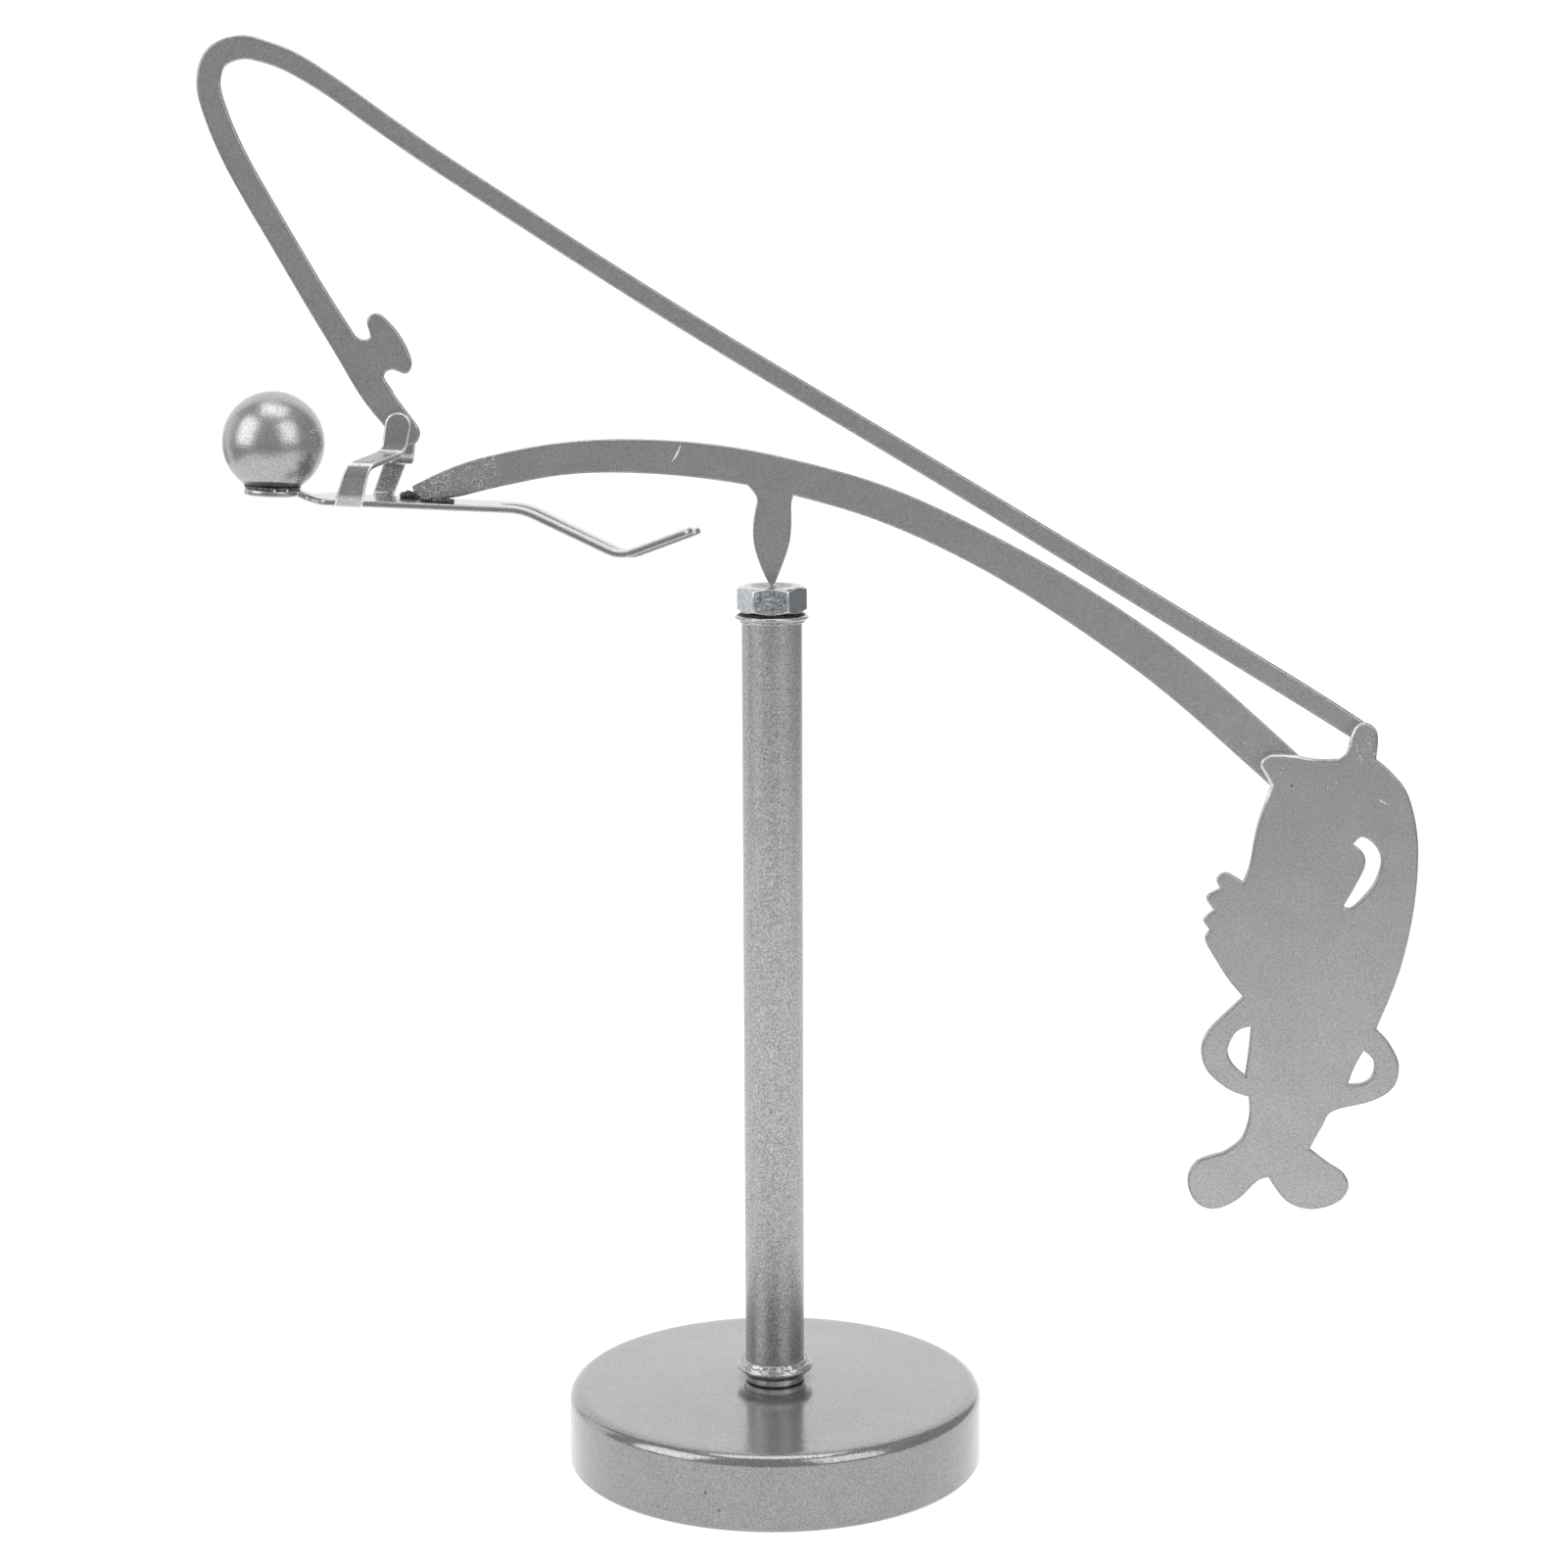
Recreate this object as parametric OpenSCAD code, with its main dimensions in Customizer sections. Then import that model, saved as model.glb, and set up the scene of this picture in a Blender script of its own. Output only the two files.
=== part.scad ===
// Counterweight balancing toy: a figure and a fish on one arm that rocks on a point above a pole.
// Millimetres. The base stands on z = 0, the pole is the z axis, and the arm lies along x.

/* [Base] */
// Diameter of the base disc
base_d = 67; // [50:0.5:90]
// Height of the base disc at its rim
base_h = 12.5; // [10:0.1:18]
// Rise of the base's top from its rim to the pole
base_crown = 0.5; // [0.2:0.1:1.2]
// Radius on the upper edge of the base
base_round = 3; // [0.5:0.1:4]
// Chamfer on the lower edge of the base
base_chamfer = 0.5; // [0.2:0.1:1]
// Room left in the recess below the lower nut
recess_spare = 1; // [0.5:0.1:2]
// Gap round the washer in the recess
recess_gap = 1; // [0.4:0.1:2]

/* [Pole] */
// Length of the pole tube
pole_len = 126.3; // [112:0.1:160]
// Outer diameter of the pole tube
pole_d = 9.5; // [9:0.1:11]
// Wall of the pole tube
pole_wall = 1; // [0.6:0.1:1.4]

/* [Collars] */
// How far the upper collar stands out from the tube
upper_collar_lip = 1.1; // [0.7:0.05:2]
// Height of the upper collar
upper_collar_h = 1.3; // [0.8:0.1:2]
// Distance from the tube's top down to the upper collar
upper_collar_drop = 0.3; // [0.1:0.1:3]
// How far the lower collar stands out from the tube
lower_collar_lip = 1.55; // [0.7:0.05:2.5]
// Height of the lower collar
lower_collar_h = 2.3; // [1:0.1:4]
// Distance from the base up to the lower collar
lower_collar_lift = 1.5; // [0.5:0.1:4]

/* [Stud, nuts and washer] */
// Diameter of the stud
stud_d = 6; // [5:0.1:6.5]
// Gap round the stud in the base and the washer
stud_gap = 0.2; // [0.1:0.05:0.4]
// Length of stud below the lower nut
stud_tail = 0.5; // [0.2:0.1:0.9]
// Width of a nut across its flats
nut_af = 9.6; // [9:0.1:11]
// Height of a nut
nut_h = 4.2; // [3:0.1:5.2]
// Depth of the chamfer at the mouth of a nut's hole
nut_mouth = 0.4; // [0.2:0.05:0.6]
// Turn of the upper nut on the stud, in degrees
nut_turn = -2; // [-30:1:30]
// Diameter of the washer
washer_d = 12; // [11.5:0.1:14]
// Thickness of the washer
washer_t = 1.2; // [0.8:0.1:1.6]

/* [Pivot] */
// Radius of the ground tip of the spike
tip_r = 0.3; // [0.25:0.01:0.36]
// Radius of the neck above the tip, measured from the pivot
neck_r = 0.9; // [0.7:0.05:1.2]
// Gap between the faces that turn on the pivot
pivot_gap = 0.04; // [0.02:0.01:0.08]
// Half angle of the spike's point, in degrees
tip_angle = 24; // [20:1:27]
// Depth of the stud's end below the nut's top
stud_sink = 0.15; // [0.12:0.01:0.2]
// Radius of the hollow in the stud's end
dimple_r = 0.8; // [0.6:0.05:1.2]

/* [Balance arm] */
// Thickness of the sheet of the arm, the rod and the figure
sheet_t = 1; // [0.8:0.05:1.3]
// Height of the arm's middle above the pivot
arm_rise = 17.3; // [15:0.1:20]
// Width of the arm above the spike
arm_w = 5.4; // [4.8:0.1:6.2]
// Width of the spike's leaf
leaf_w = 5.9; // [5.4:0.1:6.6]

/* [Fish] */
// Distance from the pivot out to the arm's end on the fish
fish_reach = 84; // [74:0.5:94]
// Depth of that end below the pivot
fish_drop = 32.6; // [28:0.1:36]
// Thickness of the fish
fish_t = 1.284; // [0.8:0.001:1.5]

/* [Rod and line] */
// Height of the rod's loop above the seat
rod_rise = 68.2; // [58:0.2:80]
// Width of the rod
rod_w = 3.8; // [3.2:0.1:4.4]
// Width of the line
line_w = 2.95; // [2.4:0.05:3.4]

/* [Figure] */
// Distance from the pivot out to the middle of the seat under the head
seat_reach = 78; // [72:0.5:86]
// Height of the seat above the pivot
seat_rise = 14.7; // [13:0.1:17]
// Diameter of the seat
seat_d = 8.8; // [7:0.1:11]
// Diameter of the head ball
ball_d = 15.88; // [14:0.01:18]
// Slope of the figure, in degrees
figure_slope = 2.9; // [1:0.1:5]
// Sideways place of the figure on the arm, which trims the lean
figure_shift = 0.94; // [-1:0.01:2]
// Distance from the middle of the seat to the arm's tip
tip_inset = 22.3; // [21.5:0.1:25]
// Width of the neck
neck_w = 3.2; // [2.4:0.1:4.4]
// Distance from the middle of the seat to the shoulders
shoulder_x = 8; // [7:0.1:9]
// Width of the torso at the shoulders
torso_w = 10.8; // [9:0.1:12]
// Distance from the middle of the seat to the hips
hip_x = 36; // [33:0.1:38]
// Distance from the middle of the seat to the bend below the hips
thigh_x = 39.3; // [38.5:0.1:43]
// Distance from the middle of the seat to the knees
knee_x = 54.8; // [50:0.1:58]
// Depth of the knees below the torso
knee_drop = 6.55; // [4:0.05:8]
// Distance from the middle of the seat to the ends of the feet
foot_x = 66; // [63:0.1:70]
// Depth of the feet's ends below the torso
foot_drop = 1.8; // [0.5:0.1:3]
// Width of a leg
leg_w = 3.2; // [2.4:0.1:4]
// Gap between the legs
leg_gap = 2; // [1.2:0.1:3]
// How far the rear leg is set back along the figure
leg_step = 1.1; // [0:0.1:2]
// Width of a bent arm of the figure
limb_w = 3.7; // [3:0.1:4.4]
// Distance from the middle of the figure to its upright arms
reach = 7.2; // [6.6:0.1:9]
// Height of the elbows above the torso
elbow_h = 5.7; // [5:0.1:6.6]
// Height of the front wrist above the torso
wrist_h = 7.8; // [7.2:0.1:9]
// How far the rear wrist lies below the front one
wrist_step = 1.8; // [0:0.1:2]
// Length of a hand above its wrist
hand_len = 5.7; // [4.5:0.1:7]
// How far the rear hand's end lies below the front one's
hand_step = 0.9; // [0:0.1:1.5]

/* [Welds] */
// Radius of a weld blob at the arm's tip
bead_r = 1; // [0.7:0.05:1.3]
// Outer radius of the weld under the head
head_weld_r = 2.7; // [2:0.1:3.4]

/* [Hidden] */
$fn = 72;
// Longer than any cut through the sheet
far = 60;
recess_h = washer_t + nut_h + recess_spare;
recess_d = washer_d + 2 * recess_gap;
base_top = base_h + base_crown;
pole_top = base_top + pole_len;
nut_top = pole_top + nut_h;
stud_low = recess_spare - stud_tail;
stud_top = nut_top - stud_sink;
// The swing turns about this height on the pole's axis
pivot_z = nut_top;
half_t = sheet_t / 2;
apex = tip_r / sin(tip_angle);
seat = [-seat_reach, seat_rise];
fish_end = [fish_reach, -fish_drop];
hip_w = 2 * leg_w + leg_gap;
hand_top = wrist_h + hand_len;
// Places of shoulder, elbow, wrist and hand along the figure
front_limb = [13, 15, 19.2, 20];
rear_limb = [17.4, 18.7, 20, 20.2];
// Radii of the sheet's bends in the figure's arms and legs
limb_bend = 1.4;
leg_bend = 2.1;

// Points of the arm from the figure's back to the spike: share of the way out to the tip, height above the
// seat, share of arm_w
arm_left = [
  [1, 0, 0.42], [0.898, 1.5, 0.83], [0.781, 3.3, 0.93], [0.592, 5.25, 0.93], [0.402, 5.7, 0.97],
  [0.183, 4.85, 1.01]
];
// Points of the arm from the spike to the fish: share of the way out, share of the way down, share of arm_w
arm_right = [
  [0.024, 0, 1.01], [0.205, 0.089, 1.02], [0.387, 0.23, 1.01], [0.571, 0.411, 1.13], [0.756, 0.633, 1.21],
  [0.939, 0.903, 1.22], [1, 1, 1.18]
];
arm_route = concat(
  [for (p = arm_left) [-p[0] * (seat_reach - tip_inset), seat_rise + p[1], p[2] * arm_w]],
  [for (p = arm_right) [p[0] * fish_reach, arm_rise - p[1] * (arm_rise + fish_drop), p[2] * arm_w]]
);
// Points of the spike from the arm down: x, share of arm_rise, share of leaf_w
leaf_points = [
  [0.5, 0.925, 1.5], [0.5, 0.838, 1.08], [0.45, 0.763, 0.91], [0.25, 0.653, 0.97], [0.1, 0.532, 1.01],
  [0, 0.405, 0.96], [-0.05, 0.289, 0.8], [-0.05, 0.156, 0.52]
];
leaf_route = [for (p = leaf_points) [p[0], p[1] * arm_rise, p[2] * leaf_w]];
// Points of the rod from the hands to the loop: x from the seat, share of rod_rise, share of rod_w
rod_points = [
  [21.4, 0.137, 1.06], [16.6, 0.23, 1.17], [12.6, 0.327, 1.1], [7.5, 0.452, 1.03], [2.4, 0.584, 1.01],
  [-1, 0.672, 1.01], [-4.15, 0.76, 1], [-6.6, 0.848, 0.98], [-7.75, 0.922, 0.97], [-6.4, 0.978, 0.98],
  [-2.6, 1, 0.95]
];
rod_route = [for (p = rod_points) [seat[0] + p[0], seat[1] + p[1] * rod_rise, p[2] * rod_w]];
// Ends of the line on the loop and on the fish
line_start = seat + [1.4, 0.988 * rod_rise];
line_end = fish_end + [9, 9];
// Points of the line: share of the way from the loop to the fish, bow off the straight way, share of line_w
line_points = [
  [0, 0, 1.12], [0.024, 0.86, 1.1], [0.059, 0.84, 1.03], [0.111, 0, 1.02], [0.18, -0.63, 1],
  [0.374, -1.3, 1.01], [0.643, -0.4, 1.05], [0.918, 0.1, 1.15], [1, 0, 1.1]
];
line_route = [
  for (p = line_points)
    let (q = line_start + p[0] * (line_end - line_start))
    [q[0], q[1] + p[1], p[2] * line_w]
];
// Edge of the reel, from the seat
reel_edge = [
  [12.8, 25.2], [14.6, 23.9], [16, 24.3], [15.6, 26.9], [17.5, 27.8], [20.5, 24.7], [22.3, 20.7],
  [21.6, 18.6], [19.2, 19.2], [18, 18.1], [19.4, 15.5], [17, 15.3], [12, 23.3]
];
// Edge of the fish, from the arm's end and round from the lip; each row is a smooth stretch between
// two corners
fish_edge = [
  [[-5.2, 0.7], [-6.1, 2.3], [-7, 4.2], [-5.4, 5.6], [-1.6, 5.5], [2, 4.9], [5.5, 4.9]],
  [[5.5, 4.9], [6.7, 6], [7.1, 8.3], [8, 10.2], [9.4, 10.7], [10.9, 9.9], [11.5, 8.2], [11.3, 4.9]],
  [[11.3, 4.9], [13.9, 2.6], [16.6, -1.1], [18.3, -8.7], [18, -19.1], [16, -29.5], [12.5, -39]],
  [[12.5, -39], [14.6, -41.3], [16.3, -45], [15.5, -48.7], [12, -51], [5.9, -52.6], [4.2, -55.2],
   [2.3, -58.8]],
  [[2.3, -58.8], [5.1, -61], [7.9, -63], [8.7, -65.5], [6.9, -67.9], [2.7, -69], [-1.3, -67.6],
   [-4.3, -63.6]],
  [[-4.3, -63.6], [-6.1, -64.3], [-9.4, -67.5], [-13.2, -68.9], [-16.1, -67.5], [-17.3, -63.9],
   [-15.8, -60.8], [-11.5, -59.3]],
  [[-11.5, -59.3], [-8.8, -57.1], [-7.6, -53.4], [-7.7, -50.2]],
  [[-7.7, -50.2], [-11.2, -48.8], [-14.5, -45.8], [-15.5, -42.2], [-14.3, -39], [-11, -35.6], [-9, -33.6]],
  [[-9, -33.6], [-11.2, -31], [-13.4, -27.6], [-15.2, -24.3], [-14.5, -22.6]],
  [[-14.5, -22.6], [-15.5, -21], [-13.9, -19.4]],
  [[-13.9, -19.4], [-15.1, -17.3], [-13, -15.9]],
  [[-13, -15.9], [-13.5, -14.3], [-12, -13.3], [-9.3, -14.8]],
  [[-9.3, -14.8], [-8.3, -11.8], [-7.3, -5.9], [-5.2, 0.7]]
];
gill_edge = [
  [[8, -8.8], [9.5, -7.7], [11.6, -9.2], [12.5, -11.7], [11.5, -15.1], [9.5, -17.7], [7.9, -19.1],
   [6.7, -18.9]],
  [[6.7, -18.9], [8.6, -15.5], [10, -12.3], [9.6, -10.2], [8, -8.8]]
];
front_loop_edge = [
  [[-7.6, -38.5], [-9.9, -39.4], [-11.2, -42.3], [-10.4, -44.6], [-8.4, -46.5]],
  [[-8.4, -46.5], [-7.9, -42.4], [-7.6, -38.5]]
];
rear_loop_edge = [
  [[10.6, -42.6], [12.2, -44.3], [12, -46.7], [10.6, -47.9], [8.2, -48.1]],
  [[8.2, -48.1], [9.2, -45.2], [10.6, -42.6]]
];

// Point at share t of the smooth curve from b to c, with a and d as the neighbours
function smooth_at(a, b, c, d, t) =
  b + (t / 2) * ((c - a) + t * (2 * a - 5 * b + 4 * c - d) + t * t * (3 * b - a - 3 * c + d));

// Smooth curve through all points of p, with n steps for each stretch
function smooth(p, n) = concat([
  for (i = [0 : len(p) - 2], k = [0 : n - 1])
    smooth_at(p[max(i - 1, 0)], p[i], p[i + 1], p[min(i + 2, len(p) - 1)], k / n)
], [p[len(p) - 1]]);

// Closed edge from rows of points that meet at corners
function edge(rows, n) = [for (r = rows) let (s = smooth(r, n)) for (i = [0 : len(s) - 2]) s[i]];

function unit(v) = v / norm(v);

// Direction of a row of points at place i
function heading(p, i) =
  let (a = p[max(i - 1, 0)], b = p[min(i + 1, len(p) - 1)])
  unit([b[0] - a[0], b[1] - a[1]]);

// One side of a ribbon of x, y, width points
function side(p, s) = [
  for (i = [0 : len(p) - 1])
    let (h = heading(p, i))
    [p[i][0] - s * h[1] * p[i][2] / 2, p[i][1] + s * h[0] * p[i][2] / 2]
];

function reversed(p) = [for (i = [len(p) - 1 : -1 : 0]) p[i]];

function ribbon(p) = concat(side(p, 1), reversed(side(p, -1)));

// Half circle round the end of a ribbon, from one side to the other
function round_end(p, i, s) =
  let (h = s * heading(p, i), r = p[i][2] / 2)
  [
    for (a = [75 : -15 : -75])
      [p[i][0] + r * (h[0] * cos(a) - h[1] * sin(a)), p[i][1] + r * (h[1] * cos(a) + h[0] * sin(a))]
  ];

function round_ribbon(p) =
  concat(side(p, 1), round_end(p, len(p) - 1, 1), reversed(side(p, -1)), round_end(p, 0, -1));

// Ribbon as wide as the sheet is thick, for a bent strip seen from its edge
function strip(p) = ribbon([for (q = p) [q[0], q[1], sheet_t]]);

// Route with each corner rounded over the length r on both sides of it
function eased(p, r, n) = concat([p[0]], [
  for (i = [1 : len(p) - 2], k = [0 : n])
    let (a = p[i] + r * unit(p[i - 1] - p[i]), b = p[i] + r * unit(p[i + 1] - p[i]), t = k / n)
    (1 - t) * (1 - t) * a + 2 * t * (1 - t) * p[i] + t * t * b
], [p[len(p) - 1]]);

// Upright sheet of thickness t about y from an outline in x and height above the pivot
module sheet(t, y) {
  translate([0, y, pivot_z]) rotate([90, 0, 0]) linear_extrude(t, center = true) children();
}

// All the space on the far side of y
module behind(y) {
  translate([-2 * far, y, 0]) cube([4 * far, far, 5 * far]);
}

// Frame of the figure: x along it from the head, z away from its upper face
module on_figure() {
  translate([seat[0], figure_shift, pivot_z + seat[1]]) rotate([0, figure_slope, 0]) children();
}

module hex_nut(turn) {
  face_d = nut_af - 0.3;
  wide_d = face_d + 2 * nut_h / tan(30);
  mouth_d = stud_d + 2 * nut_mouth;
  difference() {
    intersection() {
      rotate(turn) cylinder(h = nut_h, d = nut_af / cos(30), $fn = 6);
      cylinder(h = nut_h, d1 = face_d, d2 = wide_d);
      cylinder(h = nut_h, d1 = wide_d, d2 = face_d);
    }
    translate([0, 0, -1]) cylinder(h = nut_h + 2, d = stud_d);
    translate([0, 0, nut_h - nut_mouth]) cylinder(h = nut_mouth + 0.01, d1 = stud_d, d2 = mouth_d);
    translate([0, 0, -0.01]) cylinder(h = nut_mouth + 0.01, d1 = mouth_d, d2 = stud_d);
  }
}

module collar(lip, h) {
  r = min(h / 2, lip) * 0.96;
  rotate_extrude() translate([pole_d / 2, 0]) {
    square([lip - r, h]);
    translate([lip - r - 0.01, r]) square([r + 0.01, h - 2 * r]);
    for (y = [r, h - r]) translate([lip - r, y]) intersection() {
      circle(r);
      translate([0, -r]) square([r, 2 * r]);
    }
  }
}

module base_disc() {
  r = base_d / 2;
  rim = r - base_round;
  land = pole_d / 2 + 0.2;
  crown = [
    for (k = [0 : 16])
      [rim + (land - rim) * k / 16, base_h + base_crown * (1 - cos(180 * k / 16)) / 2]
  ];
  color("silver") difference() {
    rotate_extrude() {
      polygon(concat(
        [[0, 0], [r - base_chamfer, 0], [r, base_chamfer], [r, base_h - base_round]],
        [[rim, base_h - base_round]],
        crown, [[0, base_top]]
      ));
      translate([rim, base_h - base_round]) intersection() {
        circle(base_round);
        square(base_round);
      }
    }
    translate([0, 0, -1]) cylinder(h = base_top + 2, d = stud_d + 2 * stud_gap);
    translate([0, 0, -1]) cylinder(h = recess_h + 1, d = recess_d);
  }
}

module base_washer() {
  color("lightgray") translate([0, 0, recess_h - washer_t]) difference() {
    cylinder(h = washer_t, d = washer_d);
    translate([0, 0, -1]) cylinder(h = washer_t + 2, d = stud_d + 2 * stud_gap);
  }
}

module base_nut() {
  color("lightgray") translate([0, 0, recess_spare]) hex_nut(0);
}

module stud() {
  color("lightgray") difference() {
    translate([0, 0, stud_low]) cylinder(h = stud_top - stud_low, d = stud_d);
    translate([0, 0, pivot_z - tip_r - pivot_gap + dimple_r]) sphere(dimple_r);
  }
}

module pole_tube() {
  color("silver") translate([0, 0, base_top]) difference() {
    cylinder(h = pole_len, d = pole_d);
    translate([0, 0, -1]) cylinder(h = pole_len + 2, d = pole_d - 2 * pole_wall);
  }
}

module lower_collar() {
  color("silver") translate([0, 0, base_top + lower_collar_lift]) collar(lower_collar_lip, lower_collar_h);
}

module upper_collar() {
  color("silver") translate([0, 0, pole_top - upper_collar_drop - upper_collar_h])
    collar(upper_collar_lip, upper_collar_h);
}

module top_nut() {
  color("lightgray") translate([0, 0, pole_top]) hex_nut(nut_turn);
}

module spike_tip() {
  color("lightgray") translate([0, 0, pivot_z]) sphere(tip_r);
}

module spike_neck() {
  cone_h = apex + 2 * neck_r;
  color("lightgray") translate([0, 0, pivot_z]) difference() {
    intersection() {
      translate([0, 0, -apex]) cylinder(h = cone_h, r1 = 0, r2 = cone_h * tan(tip_angle));
      translate([-neck_r, -half_t, 0]) cube([2 * neck_r, sheet_t, 2 * neck_r]);
      sphere(neck_r);
    }
    sphere(tip_r + pivot_gap);
  }
}

// Sheet of the arm with its spike, before the tip is seated on the figure
module arm_sheet() {
  point_w = 2 * tan(tip_angle);
  point = [for (z = [neck_r + 0.2, tip_r]) [0, z, (z + apex) * point_w]];
  sheet(sheet_t, 0) {
    polygon(ribbon(smooth(arm_route, 6)));
    polygon(ribbon(smooth(concat(leaf_route, point), 5)));
  }
}

module balance_arm() {
  color("silver") difference() {
    arm_sheet();
    on_figure() translate([tip_inset - far / 8, -far / 2, -far]) cube([far / 4, far, far]);
    translate([0, 0, pivot_z]) sphere(neck_r + pivot_gap);
  }
}

module fish() {
  color("silver") sheet(fish_t, -half_t - fish_t / 2) translate(fish_end) difference() {
    polygon(edge(fish_edge, 5));
    polygon(edge(gill_edge, 5));
    polygon(edge(front_loop_edge, 5));
    polygon(edge(rear_loop_edge, 5));
  }
}

module rod_line() {
  color("silver") sheet(sheet_t, 0) {
    polygon(round_ribbon(smooth(concat(rod_route, line_route), 6)));
    translate(seat) polygon(smooth(reel_edge, 5));
  }
}

// Bent arm with its wrist at height turn and its end at height top: s is -1 for the front one and 1 for the
// rear one, and x holds the places of its shoulder, elbow, wrist and hand
module limb(s, x, turn, top) {
  w = limb_w / 2;
  palm = s * sheet_t - figure_shift;
  fold = elbow_h - limb_bend;
  bend = s * (reach - half_t);
  grip = palm + s * sheet_t;
  crown = top - w;
  swing = 0.6 * (x[2] - x[1]);
  route = eased([
    [s * (torso_w / 2 - sheet_t), -half_t], [s * reach, -half_t], [s * reach, elbow_h - half_t],
    [palm, turn - half_t], [palm, top + 1]
  ], limb_bend, 5);
  intersection() {
    rotate([90, 0, 90]) linear_extrude(far) polygon(strip(route));
    union() {
      rotate([90, 0, 0]) linear_extrude(far, center = true) polygon([
        [x[0] - w, -2 * sheet_t], [x[0] + w, -2 * sheet_t], [x[0] + w, -sheet_t], [x[1] + w, fold],
        [x[1] - w, fold], [x[0] - w, -sheet_t]
      ]);
      translate([0, 0, fold]) linear_extrude(far) polygon([
        [x[1] - w, s * far], [x[1] + w, s * far], [x[1] + w, bend], [x[2] + w, grip], [x[2] - w, grip],
        [x[1] - w + swing, bend - s * sheet_t], [x[1] - w, bend]
      ]);
      translate([0, grip, 0]) rotate([90, 0, 0]) mirror([0, 0, s < 0 ? 1 : 0]) linear_extrude(3 * sheet_t) {
        polygon([
          [x[2] - w, fold], [x[2] + w, fold], [x[2] + w, turn], [x[3] + w, crown], [x[3] - w, crown],
          [x[2] - w, turn]
        ]);
        translate([x[3], crown]) circle(w);
      }
    }
  }
}

module rear_arm() {
  limb(1, rear_limb, wrist_h - wrist_step, hand_top - hand_step);
}

// Bent leg from y on, set back by step, which also lowers it a little
module leg(y, step) {
  sink = step / 2 + half_t;
  end = foot_x + step;
  path = eased([
    [hip_x - sheet_t, -half_t], [thigh_x + step / 3, -half_t], [knee_x + step, -knee_drop - sink],
    [end, -foot_drop - sink]
  ], leg_bend, 6);
  translate([0, y, 0]) intersection() {
    translate([0, leg_w, 0]) rotate([90, 0, 0]) linear_extrude(leg_w) polygon(strip(path));
    translate([0, 0, -far / 2]) linear_extrude(far) {
      square([end - leg_w / 2, leg_w]);
      translate([end - leg_w / 2, leg_w / 2]) circle(d = leg_w);
    }
  }
}

module figure_body() {
  side_w = torso_w / 2;
  thin = neck_w / 2;
  slope = side_w - thin;
  half = [
    [seat_d / 2 - 1, thin], [shoulder_x - slope * 0.7, thin],
    [shoulder_x - slope * 0.35, (thin + side_w) / 2], [shoulder_x, side_w], [shoulder_x + slope, side_w],
    [hip_x, hip_w / 2]
  ];
  upper = smooth(half, 4);
  lower = [for (p = reversed(upper)) [p[0], -p[1]]];
  color("silver") on_figure() {
    translate([0, 0, -sheet_t]) cylinder(h = sheet_t, d = seat_d);
    translate([0, 0, -sheet_t]) linear_extrude(sheet_t) polygon(concat(upper, lower));
    limb(-1, front_limb, wrist_h, hand_top);
    rear_arm();
    leg(-hip_w / 2, 0);
    leg(leg_gap / 2, leg_step);
  }
}

module head_ball() {
  color("silver") on_figure() translate([0, 0, ball_d / 2]) sphere(d = ball_d);
}

module head_weld() {
  color("gray") on_figure() difference() {
    cylinder(h = head_weld_r / 3, r1 = head_weld_r, r2 = head_weld_r * 0.85);
    translate([0, 0, -1]) cylinder(h = head_weld_r + 1, r = head_weld_r * 0.45);
    translate([0, 0, ball_d / 2]) sphere(d = ball_d, $fn = 240);
  }
}

// Blobs before the arm's tip and along both its faces, placed from the tip
module tip_weld() {
  color("gray") difference() {
    on_figure() intersection() {
      translate([tip_inset, -figure_shift, 0]) {
        for (x = [-1.7, -0.4]) translate([x, -0.3, 0]) sphere(bead_r * 1.25);
        for (x = [1.7, 3.1, 4.5, 5.8]) translate([x, -half_t, 0]) sphere(bead_r * 0.9);
        for (x = [1.1, 3.3, 5.5]) translate([x, half_t, 0]) sphere(bead_r * 0.9);
      }
      translate([0, -far / 2, 0]) cube(far);
    }
    arm_sheet();
  }
}

module fish_weld() {
  color("gray") difference() {
    intersection() {
      for (p = [[0.6, -0.8], [2.6, 1.2], [-1.6, -2.8]])
        translate([fish_end[0] + p[0], -half_t, pivot_z + fish_end[1] + p[1]]) sphere(bead_r * 0.85);
      behind(-half_t);
    }
    arm_sheet();
  }
}

module line_weld() {
  color("gray") difference() {
    intersection() {
      for (p = [[1.3, -0.9], [0, -1.8]])
        translate([line_end[0] + p[0], -half_t, pivot_z + line_end[1] + p[1]]) sphere(bead_r * 0.55);
      behind(-half_t);
    }
    rod_line();
  }
}

// Blobs on the rod's rear face, against the round end of the rear hand
module hand_weld() {
  r = bead_r * 0.6;
  away = limb_w / 2 + r + pivot_gap;
  color("gray") intersection() {
    on_figure() translate([rear_limb[3], half_t - figure_shift, hand_top - hand_step - limb_w / 2])
      for (a = [10, 50]) translate([-away * sin(a), 0, away * cos(a)]) sphere(r);
    behind(half_t);
  }
}

base_disc();
base_washer();
base_nut();
stud();
pole_tube();
lower_collar();
upper_collar();
top_nut();
spike_tip();
spike_neck();
balance_arm();
fish();
rod_line();
figure_body();
head_ball();
head_weld();
tip_weld();
fish_weld();
line_weld();
hand_weld();
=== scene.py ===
"""Looks of the desk balancing toy: silver paint, zinc nut, weld beads, white studio."""
import math
import random

import bmesh
import bpy
from mathutils import Matrix, Vector, noise
from mathutils.bvhtree import BVHTree


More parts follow.
